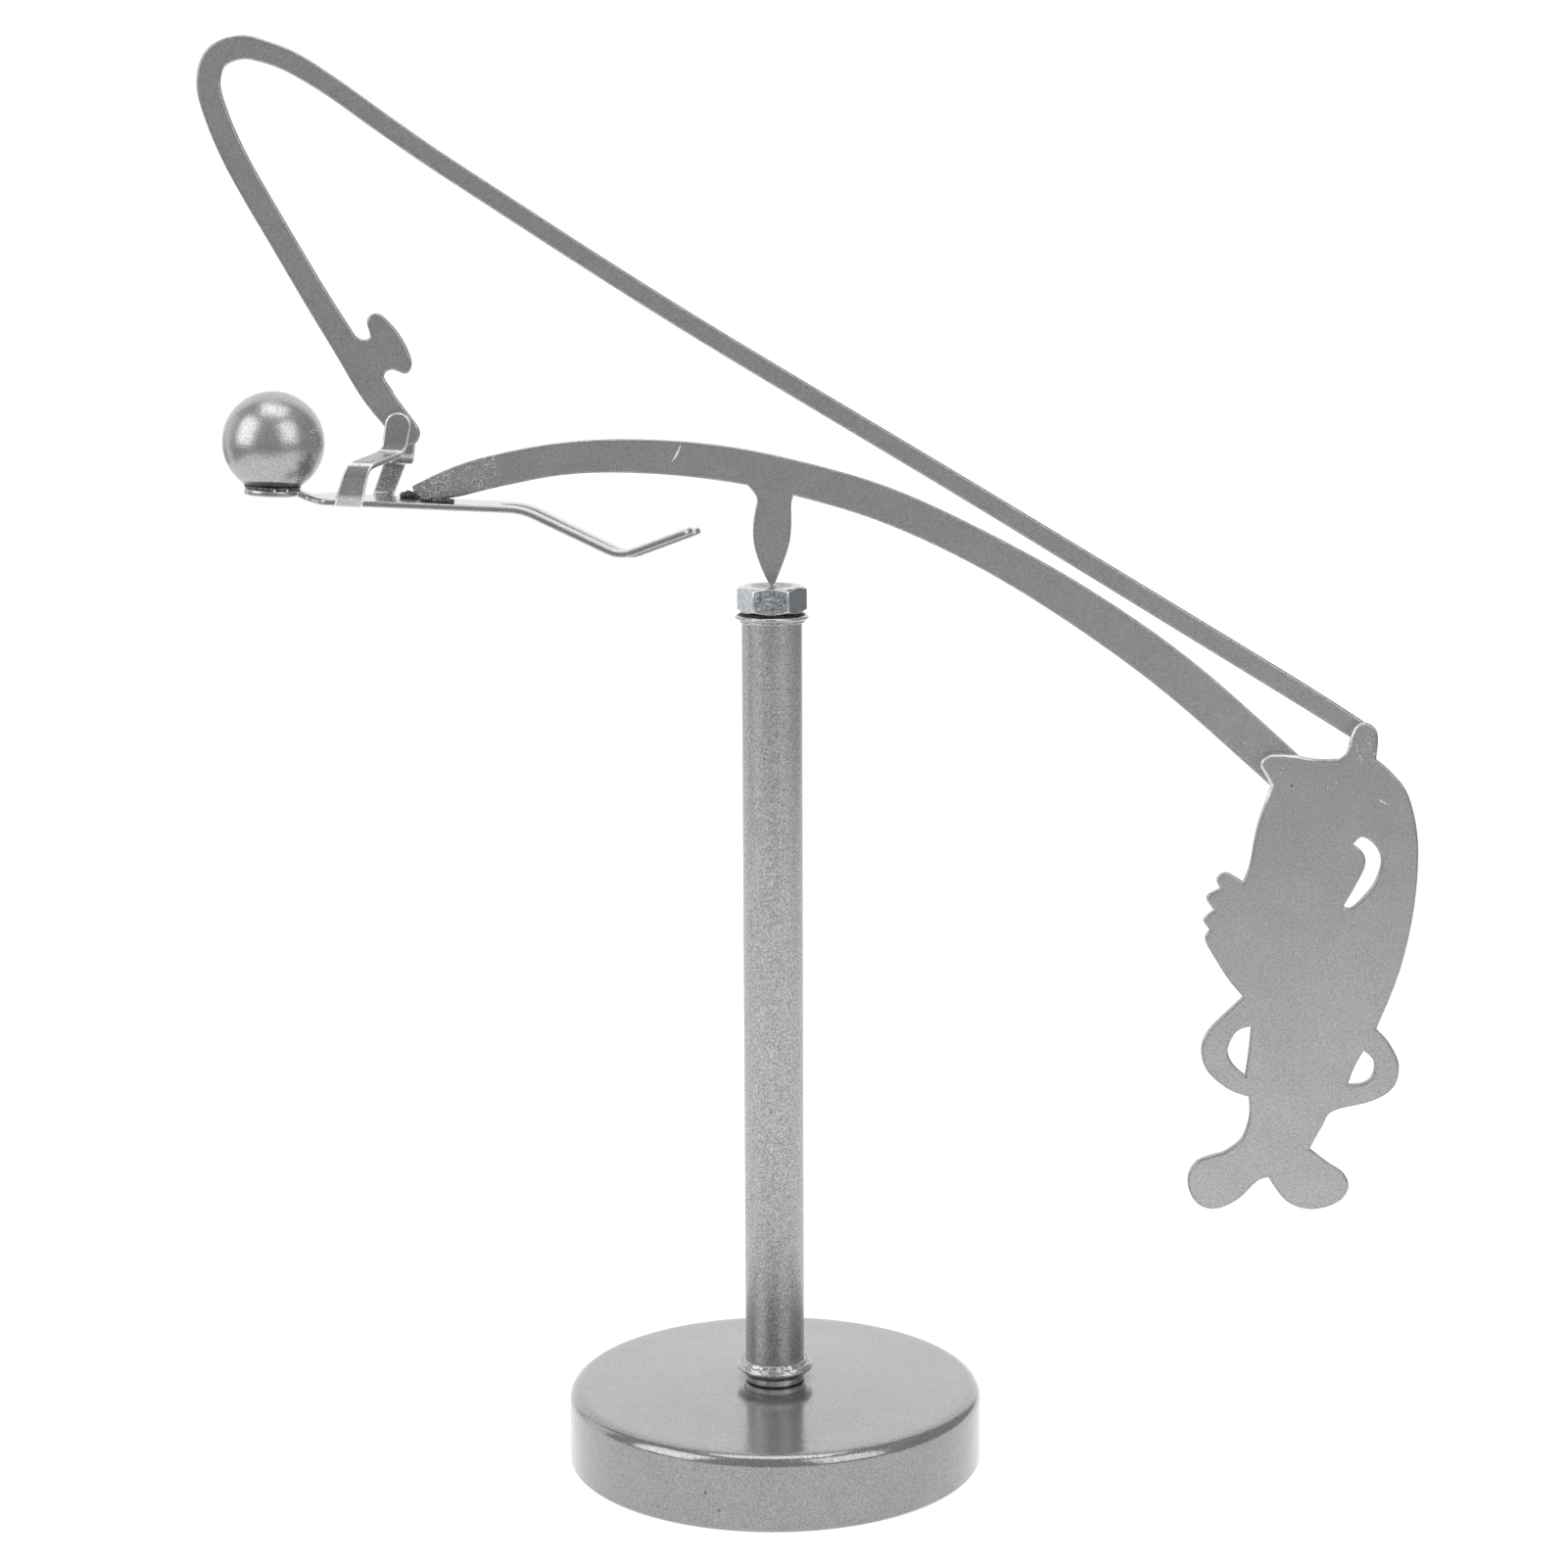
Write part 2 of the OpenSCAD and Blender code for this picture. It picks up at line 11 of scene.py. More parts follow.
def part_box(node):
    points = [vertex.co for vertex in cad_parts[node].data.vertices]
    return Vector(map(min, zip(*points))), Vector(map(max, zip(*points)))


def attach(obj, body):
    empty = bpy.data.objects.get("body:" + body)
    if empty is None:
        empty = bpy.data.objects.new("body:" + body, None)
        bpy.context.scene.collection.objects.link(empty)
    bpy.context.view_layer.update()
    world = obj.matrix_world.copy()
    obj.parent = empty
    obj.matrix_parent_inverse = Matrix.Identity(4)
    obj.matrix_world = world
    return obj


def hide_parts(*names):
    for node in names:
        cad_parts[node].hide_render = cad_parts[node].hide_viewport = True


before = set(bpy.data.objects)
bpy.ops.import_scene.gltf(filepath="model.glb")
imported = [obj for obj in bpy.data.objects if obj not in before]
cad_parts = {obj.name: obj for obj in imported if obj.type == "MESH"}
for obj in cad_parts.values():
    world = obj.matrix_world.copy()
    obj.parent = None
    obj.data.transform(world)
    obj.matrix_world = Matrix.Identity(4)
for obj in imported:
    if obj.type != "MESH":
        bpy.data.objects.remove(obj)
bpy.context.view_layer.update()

MM = 0.001
# Points nearer than the first are one point, and a cut takes in points nearer than the second
MERGE_GAP = 0.001 * MM
CUT_GAP = 0.0001 * MM
SCENE = bpy.context.scene
AXIS_UP = Vector((0, 0, 1))
ALONG = Vector((1, 0, 0))
ACROSS = Vector((0, 1, 0))
# Frame of the figure: x along it from the head, y away from the camera, z off its upper face
SEAT = Vector((-78.0, 0.94, 158.2)) * MM
FIGURE_SLOPE = math.radians(2.9)
FIGURE = Matrix.Translation(SEAT) @ Matrix.Rotation(FIGURE_SLOPE, 4, "Y")
FIGURE_TURN = FIGURE.to_3x3()
SHEET_T = 1.0
# The neck steps the round seat up from the torso, and the ball is let into the seat
SEAT_LIFT = 0.73
PIVOT = Vector((0, 0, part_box("top_nut")[1].z))


# Node trees

def add(tree, kind, inputs=None, **settings):
    """Adds one node; an input may be a value or a socket to link from."""
    node = tree.nodes.new(kind)
    for key, value in settings.items():
        setattr(node, key, value)
    for key, value in (inputs or {}).items():
        if isinstance(value, bpy.types.NodeSocket):
            tree.links.new(value, node.inputs[key])
        else:
            node.inputs[key].default_value = value
    return node


def math_node(tree, operation, a, b=None):
    """One step of arithmetic on values or sockets."""
    inputs = {0: a}
    if b is not None:
        inputs[1] = b
    return add(tree, "ShaderNodeMath", inputs, operation=operation).outputs[0]


def ramp(tree, value, low, high, to_low=0.0, to_high=1.0):
    """A value from low to high, turned smoothly into one from to_low to to_high."""
    ends = {"Value": value, "From Min": low, "From Max": high, "To Min": to_low, "To Max": to_high}
    return add(tree, "ShaderNodeMapRange", ends, interpolation_type="SMOOTHSTEP").outputs[0]


def object_place(tree):
    """The place of a point in the toy's own frame."""
    return add(tree, "ShaderNodeTexCoord").outputs["Object"]


def noise_at(tree, place, scale, detail=2.0, roughness=0.5):
    """Smooth noise about 0.5; a scale of 1000 gives lumps about a millimetre apart."""
    values = {"Vector": place, "Scale": scale, "Detail": detail, "Roughness": roughness}
    return add(tree, "ShaderNodeTexNoise", values).outputs["Fac"]


def new_group(name, inputs, outputs):
    """A shader node group with named float sockets."""
    tree = bpy.data.node_groups.new(name, "ShaderNodeTree")
    for socket, value in inputs.items():
        made = tree.interface.new_socket(socket, in_out="INPUT", socket_type="NodeSocketFloat")
        made.default_value = value
    for socket in outputs:
        tree.interface.new_socket(socket, in_out="OUTPUT", socket_type="NodeSocketFloat")
    return tree, tree.nodes.new("NodeGroupInput"), tree.nodes.new("NodeGroupOutput")


def make_flaked_paint():
    """Sprayed metallic paint: flakes, cloudy spray and the grain of its surface."""
    flake_scale = 5200.0
    grain_scale = 3300.0
    cloud_scale = 160.0
    flake_height = 0.25
    values = {"Flakes": 0.2, "Clouds": 0.03, "Gloss": 0.36}
    tree, given, out = new_group("flaked_paint", values, ("Shade", "Roughness", "Height"))
    place = object_place(tree)
    cells = add(tree, "ShaderNodeTexVoronoi", {"Vector": place, "Scale": flake_scale})
    flake = add(tree, "ShaderNodeSeparateColor", {"Color": cells.outputs["Color"]}).outputs[0]
    grain = noise_at(tree, place, grain_scale, 2.0, 0.65)
    cloud = noise_at(tree, place, cloud_scale, 3.0, 0.5)
    flake_swing = math_node(tree, "SUBTRACT", flake, 0.5)
    grain_swing = ramp(tree, grain, 0.25, 0.75, -1.0, 1.0)
    cloud_swing = ramp(tree, cloud, 0.3, 0.7, -1.0, 1.0)
    flake_part = math_node(tree, "MULTIPLY", flake_swing, given.outputs["Flakes"])
    grain_part = math_node(tree, "MULTIPLY", grain_swing, given.outputs["Flakes"])
    cloud_part = math_node(tree, "MULTIPLY", cloud_swing, given.outputs["Clouds"])
    speckle = math_node(tree, "ADD", flake_part, grain_part)
    shade = math_node(tree, "ADD", math_node(tree, "ADD", speckle, cloud_part), 1.0)
    blur = ramp(tree, grain, 0.3, 0.7, 1.12, 0.9)
    rough = math_node(tree, "MULTIPLY", blur, given.outputs["Gloss"])
    height = math_node(tree, "ADD", math_node(tree, "MULTIPLY", flake, flake_height), grain)
    tree.links.new(shade, out.inputs["Shade"])
    tree.links.new(rough, out.inputs["Roughness"])
    tree.links.new(height, out.inputs["Height"])
    return tree


def make_spot_mask():
    """1 in the core of a round spot on the surface, fading to 0 at its radius."""
    values = {"X": 0.0, "Y": 0.0, "Z": 0.0, "Radius": 0.0005, "Core": 0.45}
    tree, given, out = new_group("spot_mask", values, ("Mask",))
    ends = {"X": given.outputs["X"], "Y": given.outputs["Y"], "Z": given.outputs["Z"]}
    centre = add(tree, "ShaderNodeCombineXYZ", ends).outputs[0]
    apart = add(tree, "ShaderNodeVectorMath", {0: object_place(tree), 1: centre}, operation="DISTANCE")
    share = math_node(tree, "DIVIDE", apart.outputs["Value"], given.outputs["Radius"])
    tree.links.new(ramp(tree, share, given.outputs["Core"], 1.0, 1.0, 0.0), out.inputs["Mask"])
    return tree


FLAKED_PAINT = make_flaked_paint()
SPOT_MASK = make_spot_mask()


def use_group(tree, group, **values):
    """Places a node group with its own values."""
    node = tree.nodes.new("ShaderNodeGroup")
    node.node_tree = group
    for key, value in values.items():
        node.inputs[key].default_value = value
    return node


def new_material(name):
    """A material with one empty shader."""
    material = bpy.data.materials.new(name)
    material.use_nodes = True
    tree = material.node_tree
    tree.nodes.clear()
    shader = tree.nodes.new("ShaderNodeBsdfPrincipled")
    add(tree, "ShaderNodeOutputMaterial", {"Surface": shader.outputs[0]})
    return material, tree, shader


def mix_colours(tree, share, first, second, blend="MIX"):
    """Two colours mixed by a share; the numbers are the mix node's sockets for colours."""
    share_in, first_in, second_in, colour_out = 0, 6, 7, 2
    node = add(tree, "ShaderNodeMix", data_type="RGBA", blend_type=blend)
    for socket, value in ((share_in, share), (first_in, first), (second_in, second)):
        if isinstance(value, bpy.types.NodeSocket):
            tree.links.new(value, node.inputs[socket])
        else:
            node.inputs[socket].default_value = value
    return node.outputs[colour_out]


def tint(tree, shade, colour):
    """A colour made darker or lighter by a value near 1."""
    grey = add(tree, "ShaderNodeCombineColor", {0: shade, 1: shade, 2: shade}).outputs[0]
    return mix_colours(tree, 1.0, grey, (*colour, 1.0), "MULTIPLY")


def spots_mask(tree, spots):
    """The strongest of several spots: x, y, z and radius in millimetres, and the share of its core."""
    mask = None
    for x, y, z, radius, *core in spots:
        spot = use_group(tree, SPOT_MASK, X=x * MM, Y=y * MM, Z=z * MM, Radius=radius * MM)
        if core:
            spot.inputs["Core"].default_value = core[0]
        spot = spot.outputs[0]
        mask = spot if mask is None else math_node(tree, "MAXIMUM", mask, spot)
    return mask


def bare_foot(tree, tone, edge):
    """Bare, blotched metal below a height, with painted shade at its lowest where it meets the base."""
    bare_colour = (0.86, 0.84, 0.79)
    blotch_scale = 330.0
    place = object_place(tree)
    level = add(tree, "ShaderNodeSeparateXYZ", {0: place}).outputs["Z"]
    bare = ramp(tree, level, (edge - 0.1) * MM, (edge + 0.1) * MM, 1.0, 0.0)
    # Painted shade: the lowest part is darkened where the pole stands on the base.
    foot_shade = ramp(tree, level, (edge - 1.4) * MM, (edge - 1.0) * MM, 0.15, 1.0)
    blotch = ramp(tree, noise_at(tree, place, blotch_scale, 2.0, 0.5), 0.35, 0.65, 0.6, 1.3)
    blotch = math_node(tree, "MULTIPLY", blotch, foot_shade)
    return mix_colours(tree, bare, tone, tint(tree, blotch, bare_colour))


def silver_paint(
    name, colour=0.46, flakes=0.2, clouds=0.03, gloss=0.36, grain=0.02, peel=0.0, coat=0.3,
    coat_blur=0.12, metal=0.92, pits_and_shade=(), pit_shade=0.3, specks_and_highlights=(), bare_below=None
):
    """Silver paint with dark spots at given places, some real and some painted shade, pale spots, some
    real and some painted highlights, and bare metal below a height.
    """
    peel_scale = 850.0
    pit_depth = 1.5
    speck_and_highlight_gain = 2.1
    cool = 1.005
    material, tree, shader = new_material(name)
    paint = use_group(tree, FLAKED_PAINT, Flakes=flakes, Clouds=clouds, Gloss=gloss)
    shade = paint.outputs["Shade"]
    height = paint.outputs["Height"]
    if peel:
        waves = noise_at(tree, object_place(tree), peel_scale, 1.0, 0.5)
        height = math_node(tree, "ADD", height, math_node(tree, "MULTIPLY", waves, peel / grain))
    # Dark spots darken the paint: real pitting, and painted shade where a spot stands for shade.
    if pits_and_shade:
        pit = spots_mask(tree, pits_and_shade)
        shade = math_node(tree, "MULTIPLY", shade, ramp(tree, pit, 0.0, 1.0, 1.0, pit_shade))
        height = math_node(tree, "SUBTRACT", height, math_node(tree, "MULTIPLY", pit, pit_depth))
    # Pale spots lighten the paint: real flecks, and painted highlights where a spot stands for a
    # highlight.
    if specks_and_highlights:
        speck_and_highlight = spots_mask(tree, specks_and_highlights)
        shade = math_node(tree, "MULTIPLY", shade, ramp(tree, speck_and_highlight, 0.0, 1.0, 1.0, speck_and_highlight_gain))
    tone = tint(tree, shade, (colour, colour, colour * cool))
    if bare_below:
        tone = bare_foot(tree, tone, bare_below)
    tree.links.new(tone, shader.inputs["Base Color"])
    tree.links.new(paint.outputs["Roughness"], shader.inputs["Roughness"])
    bump = add(tree, "ShaderNodeBump", {"Height": height, "Strength": 1.0, "Distance": grain * MM})
    tree.links.new(bump.outputs[0], shader.inputs["Normal"])
    tree.links.new(bump.outputs[0], shader.inputs["Coat Normal"])
    shader.inputs["Metallic"].default_value = metal
    shader.inputs["Coat Weight"].default_value = coat
    shader.inputs["Coat Roughness"].default_value = coat_blur
    shader.inputs["Coat IOR"].default_value = 1.5
    return material


def grainy_metal(name, colour, low, high, scale, shine, depth):
    """Bare metal with coarse grain: its shade runs from low to high, its roughness over shine."""
    finer = 3.4
    material, tree, shader = new_material(name)
    place = object_place(tree)
    blotch = noise_at(tree, place, scale, 3.0, 0.65)
    fine = noise_at(tree, place, scale * finer, 2.0, 0.6)
    both = math_node(tree, "ADD", blotch, math_node(tree, "MULTIPLY", fine, 0.5))
    tone = tint(tree, ramp(tree, both, 0.5, 1.0, low, high), colour)
    tree.links.new(tone, shader.inputs["Base Color"])
    tree.links.new(ramp(tree, blotch, 0.3, 0.7, shine[1], shine[0]), shader.inputs["Roughness"])
    bump = add(tree, "ShaderNodeBump", {"Height": both, "Strength": 1.0, "Distance": depth * MM})
    tree.links.new(bump.outputs[0], shader.inputs["Normal"])
    shader.inputs["Metallic"].default_value = 1.0
    return material


# Mesh helpers

def new_piece(name, bm, body, slot, material, *replaced):
    """Turns a bmesh into a piece that rides on a body."""
    mesh = bpy.data.meshes.new(name)
    for face in bm.faces:
        face.smooth = True
    bm.to_mesh(mesh)
    bm.free()
    mesh.materials.append(material)
    piece = bpy.data.objects.new(name, mesh)
    SCENE.collection.objects.link(piece)
    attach(piece, body)
    if replaced:
        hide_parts(*replaced)
    return piece


def node_copy(node, weld=None):
    """A merged copy of a CAD node's mesh, its flat faces joined; weld also joins points that near."""
    flat_angle = math.radians(0.2)
    bm = bmesh.new()
    bm.from_mesh(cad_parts[node].data)
    bmesh.ops.remove_doubles(bm, verts=bm.verts, dist=MERGE_GAP)
    bmesh.ops.dissolve_limit(bm, angle_limit=flat_angle, verts=bm.verts, edges=bm.edges)
    if weld:
        bmesh.ops.remove_doubles(bm, verts=bm.verts, dist=weld * MM)
    return bm


def cut_away(bm, point, direction):
    """Removes what lies beyond a plane and closes the cut."""
    geom = bm.verts[:] + bm.edges[:] + bm.faces[:]
    bmesh.ops.bisect_plane(
        bm, geom=geom, dist=CUT_GAP, plane_co=point, plane_no=direction, clear_outer=True
    )
    rim = [e for e in bm.edges if e.is_boundary]
    bmesh.ops.holes_fill(bm, edges=rim, sides=0)


def turned(profile, steps=256):
    """A closed profile of (radius, height) in millimetres, spun round the pole's axis."""
    bm = bmesh.new()
    ring = [bm.verts.new((radius * MM, 0, height * MM)) for radius, height in profile]
    edges = [bm.edges.new(pair) for pair in zip(ring, ring[1:] + ring[:1])]
    bmesh.ops.spin(
        bm, geom=ring + edges, cent=(0, 0, 0), axis=AXIS_UP, angle=math.tau, steps=steps, use_merge=True
    )
    bmesh.ops.remove_doubles(bm, verts=bm.verts, dist=CUT_GAP)
    bmesh.ops.recalc_face_normals(bm, faces=bm.faces)
    return bm


def bevel_edges(bm, edges, width, segments):
    """Rounds edges over a width in millimetres and gives the new faces."""
    return bmesh.ops.bevel(
        bm, geom=edges, offset=width * MM, offset_type="OFFSET", affect="EDGES", segments=segments,
        profile=0.5, material=-1, clamp_overlap=False
    )["faces"]


def sharp_edges(bm, angle):
    """Edges whose faces turn by more than an angle in degrees."""
    return [e for e in bm.edges if e.is_manifold and e.calc_face_angle() > math.radians(angle)]


def roughen(bm, amount, scale, seed, reach=None):
    """Pushes points in and out by smooth noise; reach limits it to points that it accepts."""
    bm.normal_update()
    moves = []
    for vert in bm.verts:
        if reach is None or reach(vert.co):
            push = noise.noise(vert.co * scale + Vector((seed, 0, 0)))
            moves.append((vert, vert.normal * push * amount * MM))
    for vert, move in moves:
        vert.co += move


def mark_rims(bm):
    """Marks the edges between a sheet's flat faces and its cut edge, less near the spike's point."""
    slim_reach = 0.7 * MM
    sharp_reach = 1.2 * MM
    slim_share = 0.25
    bm.normal_update()
    weight = bm.edges.layers.float.new("bevel_weight_edge")
    for edge in bm.edges:
        if edge.is_manifold:
            flat, side = sorted((abs(face.normal.y) for face in edge.link_faces), reverse=True)
            near, far = sorted((vert.co - PIVOT).length for vert in edge.verts)
            share = slim_share if near < slim_reach else 1.0
            edge[weight] = share if flat > 0.9 and side < 0.4 and far > sharp_reach else 0.0


def flatten_shading(piece):
    """Keeps large flat faces flat in their shading, beside narrow rounded ones."""
    normals = piece.modifiers.new("flat_faces", "WEIGHTED_NORMAL")
    normals.keep_sharp = False
    normals.weight = 100


def soften(piece, width, rim, marked=True, segments=4):
    """Rounds a sheet's edges, the marked ones or all the sharp ones, and gives the rounded faces a rim
    paint, which paints a highlight along them on the figure, shade on the arm and rod, and both on the
    fish.
    """
    bevel = piece.modifiers.new("rounded_edges", "BEVEL")
    bevel.width = width * MM
    bevel.segments = segments
    bevel.limit_method = "WEIGHT" if marked else "ANGLE"
    bevel.angle_limit = math.radians(50)
    bevel.use_clamp_overlap = False
    # The rounded faces take the rim paint: painted highlight on the figure, painted shade on the arm
    # and rod, both on the fish.
    bevel.material = 1
    piece.data.materials.append(rim)
    flatten_shading(piece)


def lump(bm, centre, size, seed, amount=0.35):
    """Adds an uneven blob; centre and size in metres."""
    coarse = 900
    fine = 2600
    shape = Matrix.Translation(centre) @ Matrix.Diagonal((*size, 1.0))
    for vert in bmesh.ops.create_icosphere(bm, subdivisions=4, radius=1.0, matrix=shape)["verts"]:
        offset = vert.co - centre
        swell = noise.noise(vert.co * coarse + Vector((seed, 0, 0)))
        swell += 0.5 * noise.noise(vert.co * fine + Vector((0, seed, 0)))
        vert.co = centre + offset * (1 + amount * swell)


def start_edge(bm, pair):
    """The first two corners of a ribbon."""
    ends = [bm.verts.new(place) for place in pair]
    bm.edges.new(ends)
    return ends


def ribbon(bm, ends, pairs):
    """Runs a strip of faces from two corners on through pairs of places; gives its last corners."""
    for pair in pairs:
        made = bmesh.ops.extrude_edge_only(bm, edges=[bm.edges.get(ends)])["geom"]
        fresh = [g for g in made if isinstance(g, bmesh.types.BMVert)]
        ends = [next(v for v in fresh if any(old in e.verts for e in v.link_edges)) for old in ends]
        for vert, place in zip(ends, pair):
            vert.co = place
    return ends


def round_end(bm, ends, centre, toward, angle=math.pi, steps=18):
    """Closes a strip with an arc about a centre, from its first corner round to its second."""
    first, last = ends
    arc = bmesh.ops.spin(
        bm, geom=[first], cent=centre, axis=(first.co - centre).cross(toward), angle=angle, steps=steps
    )
    tail = next(g for g in arc["geom_last"] if isinstance(g, bmesh.types.BMVert))
    bmesh.ops.weld_verts(bm, targetmap={tail: last})
    rim = [e for e in bm.edges if e.is_wire]
    bmesh.ops.contextual_create(bm, geom=rim + [bm.edges.get(ends)])


def hairline(bm, points, width, depth):
    """A thin raised line on a sheet's front, along three (x, z) points joined by a curve."""
    steps = 8
    end_share = 0.2
    start, middle, end = (Vector((x, depth, z)) * MM for x, z in points)
    side = (end - start).normalized().cross(ACROSS) * width * MM / 2
    pairs = []
    for k in range(steps + 1):
        t = k / steps
        place = start.lerp(middle, t).lerp(middle.lerp(end, t), t)
        across = side * (end_share + (1 - end_share) * math.sin(math.pi * t))
        pairs.append((place - across, place + across))
    ribbon(bm, start_edge(bm, pairs[0]), pairs[1:])


def scatter(bm, surface, corners, count, sizes, seed):
    """Adds small spatter domes where rays from the front meet a surface; corners are (x, z) in mm."""
    before = -20
    tree = BVHTree.FromBMesh(surface)
    pick = random.Random(seed)
    (x0, z0), (x1, z1) = corners
    for _ in range(count):
        place = Vector((pick.uniform(x0, x1), before, pick.uniform(z0, z1))) * MM
        radius = pick.uniform(*sizes) * MM
        spot = tree.ray_cast(place, ACROSS)[0]
        if spot:
            stretch = (pick.uniform(0.7, 1.6), 0.5, pick.uniform(0.7, 1.3), 1.0)
            shape = Matrix.Translation(spot) @ Matrix.Diagonal(stretch)
            bmesh.ops.create_icosphere(bm, subdivisions=1, radius=radius, matrix=shape)


def on_figure(x, y, z):
    """A place in the figure's own frame, given in millimetres."""
    return FIGURE @ (Vector((x, y, z)) * MM)


# Materials of the pieces; a spot is x, y, z and radius in millimetres

POLE_PITS = (
    (-0.87, -4.67, 118.2, 0.15), (-1.19, -4.6, 116.7, 0.17), (0.49, -4.72, 112.1, 0.13),
    (-2.3, -4.16, 108.7, 0.14), (-2.56, -4.0, 88.7, 0.14), (-1.73, -4.42, 130.2, 0.17),
    (-1.13, -4.61, 128.5, 0.17), (1.04, -4.63, 134.4, 0.12)
)
# Pits in the base's paint; the last, wide spot round the pole's foot is painted shade that darkens the
# base there.
BASE_PITS_AND_FOOT_SHADE = (
    (-10.77, -31.72, 6.08, 0.32), (-8.67, -32.36, 3.36, 0.3), (-17.2, -4.9, 12.6, 0.25),
    (6.6, -6.9, 12.95, 0.25), (0.0, 0.0, 13.0, 7.5)
)
# Painted shade: this spot darkens the ball's lower front almost black, standing for the shaded seat
# seen in it; the last number is the share of its core.
BALL_FOOT_SHADE = ((-77.8, -0.26, 158.5, 5.0, 0.92),)
FISH_SPECKS = ((87.7, -1.78, 111.3, 0.16), (89.0, -1.78, 112.05, 0.16))
# Painted highlights: wide pale spots that lighten the fish's rim at its lap edges.
LAP_EDGE_HIGHLIGHTS = ((79.5, -1.5, 114.5, 8.0), (91.9, -1.5, 119.6, 3.0))
FISH_PITS = ((93.87, -1.78, 118.94, 0.2), (82.0, -1.78, 111.6, 0.28))
ARM_SPECKS = ((74.6, -0.5, 118.3, 0.16),)

SHEET_PAINT = silver_paint("sheet_paint", coat=0.8, coat_blur=0.08, specks_and_highlights=ARM_SPECKS)
FISH_PAINT = silver_paint("fish_paint", coat=0.8, coat_blur=0.08, specks_and_highlights=FISH_SPECKS, pits_and_shade=FISH_PITS)
PLATE_PAINT = silver_paint("plate_paint", gloss=0.27, grain=0.018, coat=1.0, coat_blur=0.08)
BASE_PAINT = silver_paint(
    "base_paint", colour=0.32, flakes=0.24, gloss=0.13, grain=0.012, peel=0.02, coat=1.0,
    coat_blur=0.04, metal=0.8, pits_and_shade=BASE_PITS_AND_FOOT_SHADE
)
POLE_PAINT = silver_paint(
    "pole_paint", flakes=0.36, gloss=0.34, grain=0.05, coat=0.3, pits_and_shade=POLE_PITS, bare_below=14.5
)
BALL_PAINT = silver_paint(
    "ball_paint", gloss=0.29, grain=0.022, flakes=0.2, coat=0.5, coat_blur=0.06, pits_and_shade=BALL_FOOT_SHADE,
    pit_shade=0.06
)
# Lighter copies of the paint for the figure's rounded edges: a painted highlight along them.
RIM_HIGHLIGHT = silver_paint("rim_painted_highlight", colour=0.78, gloss=0.3, flakes=0.12, coat=1.0, coat_blur=0.06)
PLATE_RIM_HIGHLIGHT = silver_paint("plate_rim_painted_highlight", colour=0.56, gloss=0.3, flakes=0.12, coat=1.0, coat_blur=0.06)
# A darker copy of the paint for the rounded edges of the arm and rod: painted shade along them.
RIM_SHADE = silver_paint("rim_painted_shade", colour=0.36, gloss=0.34, flakes=0.25, coat=0.5, coat_blur=0.08)
# The fish's rim: a darker paint that paints shade along its edges, with painted highlights at its lap
# edges.
FISH_RIM_SHADE_AND_HIGHLIGHT = silver_paint("fish_rim_painted_shade_and_highlight", colour=0.38, gloss=0.32, flakes=0.25, coat=0.8, specks_and_highlights=LAP_EDGE_HIGHLIGHTS)
COLLAR_PAINT = silver_paint(
    "collar_paint", flakes=0.3, gloss=0.22, grain=0.045, coat=0.8, coat_blur=0.06
)
BARE_PAINT = silver_paint("worn_paint", colour=0.95, gloss=0.3, coat=1.0, coat_blur=0.05, metal=0.15)
ZINC = grainy_metal("zinc_plate", (0.55, 0.58, 0.61), 0.8, 1.15, 1500.0, (0.14, 0.22), 0.02)
GRAINY_ZINC = grainy_metal("grainy_zinc", (0.47, 0.49, 0.51), 0.35, 1.5, 1300.0, (0.12, 0.3), 0.16)
# Painted highlight: a near-white zinc for the nut's rounded edges.
ZINC_EDGE_HIGHLIGHT = grainy_metal("zinc_edge_painted_highlight", (0.92, 0.94, 0.97), 0.85, 1.05, 1500.0, (0.16, 0.26), 0.02)
STUD_STEEL = grainy_metal("stud_steel", (0.4, 0.41, 0.42), 0.6, 1.4, 2200.0, (0.3, 0.5), 0.05)
# Painted shade: near-black for the gap under the nut, on the pole's end and in the upper collar's
# groove.
GAP_SHADE = grainy_metal("gap_painted_shade", (0.05, 0.05, 0.05), 0.5, 1.6, 1800.0, (0.4, 0.6), 0.05)
WELD = grainy_metal("weld_metal", (0.13, 0.13, 0.13), 0.3, 1.9, 1800.0, (0.15, 0.4), 0.2)


# Pieces of the stand

def make_base():
    """The turned base: a rounded upper edge, a slight crown and the recess under it."""
    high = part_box("base_disc")[1]
    outer = high.x / MM - 0.001
    top = high.z / MM
    crown = 0.5
    rounding = 2.0
    foot_chamfer = 0.5
    recess = 7.0
    recess_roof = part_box("base_washer")[1].z / MM
    bore = 3.2
    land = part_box("pole_tube")[1].x / MM + 0.2
    rim = top - crown
    inner = outer - rounding
    edge_steps = 10
    edge = []
    for k in range(edge_steps + 1):
        angle = math.radians(90 / edge_steps * k)
        edge.append((inner + rounding * math.cos(angle), rim - rounding + rounding * math.sin(angle)))
    rise_steps = 12
    rise = []
    for k in range(1, rise_steps + 1):
        lift = crown * (1 - math.cos(math.pi * k / rise_steps)) / 2
        rise.append((inner + (land - inner) * k / rise_steps, rim + lift))
    bm = turned(
        [(recess, 0), (outer - foot_chamfer, 0), (outer, foot_chamfer)] + edge + rise
        + [(bore, top), (bore, recess_roof), (recess, recess_roof)]
    )
    bevel_edges(bm, sharp_edges(bm, 30), 0.12, 2)
    new_piece("base_turned", bm, "stand", "silver_paint", BASE_PAINT, "base_disc")


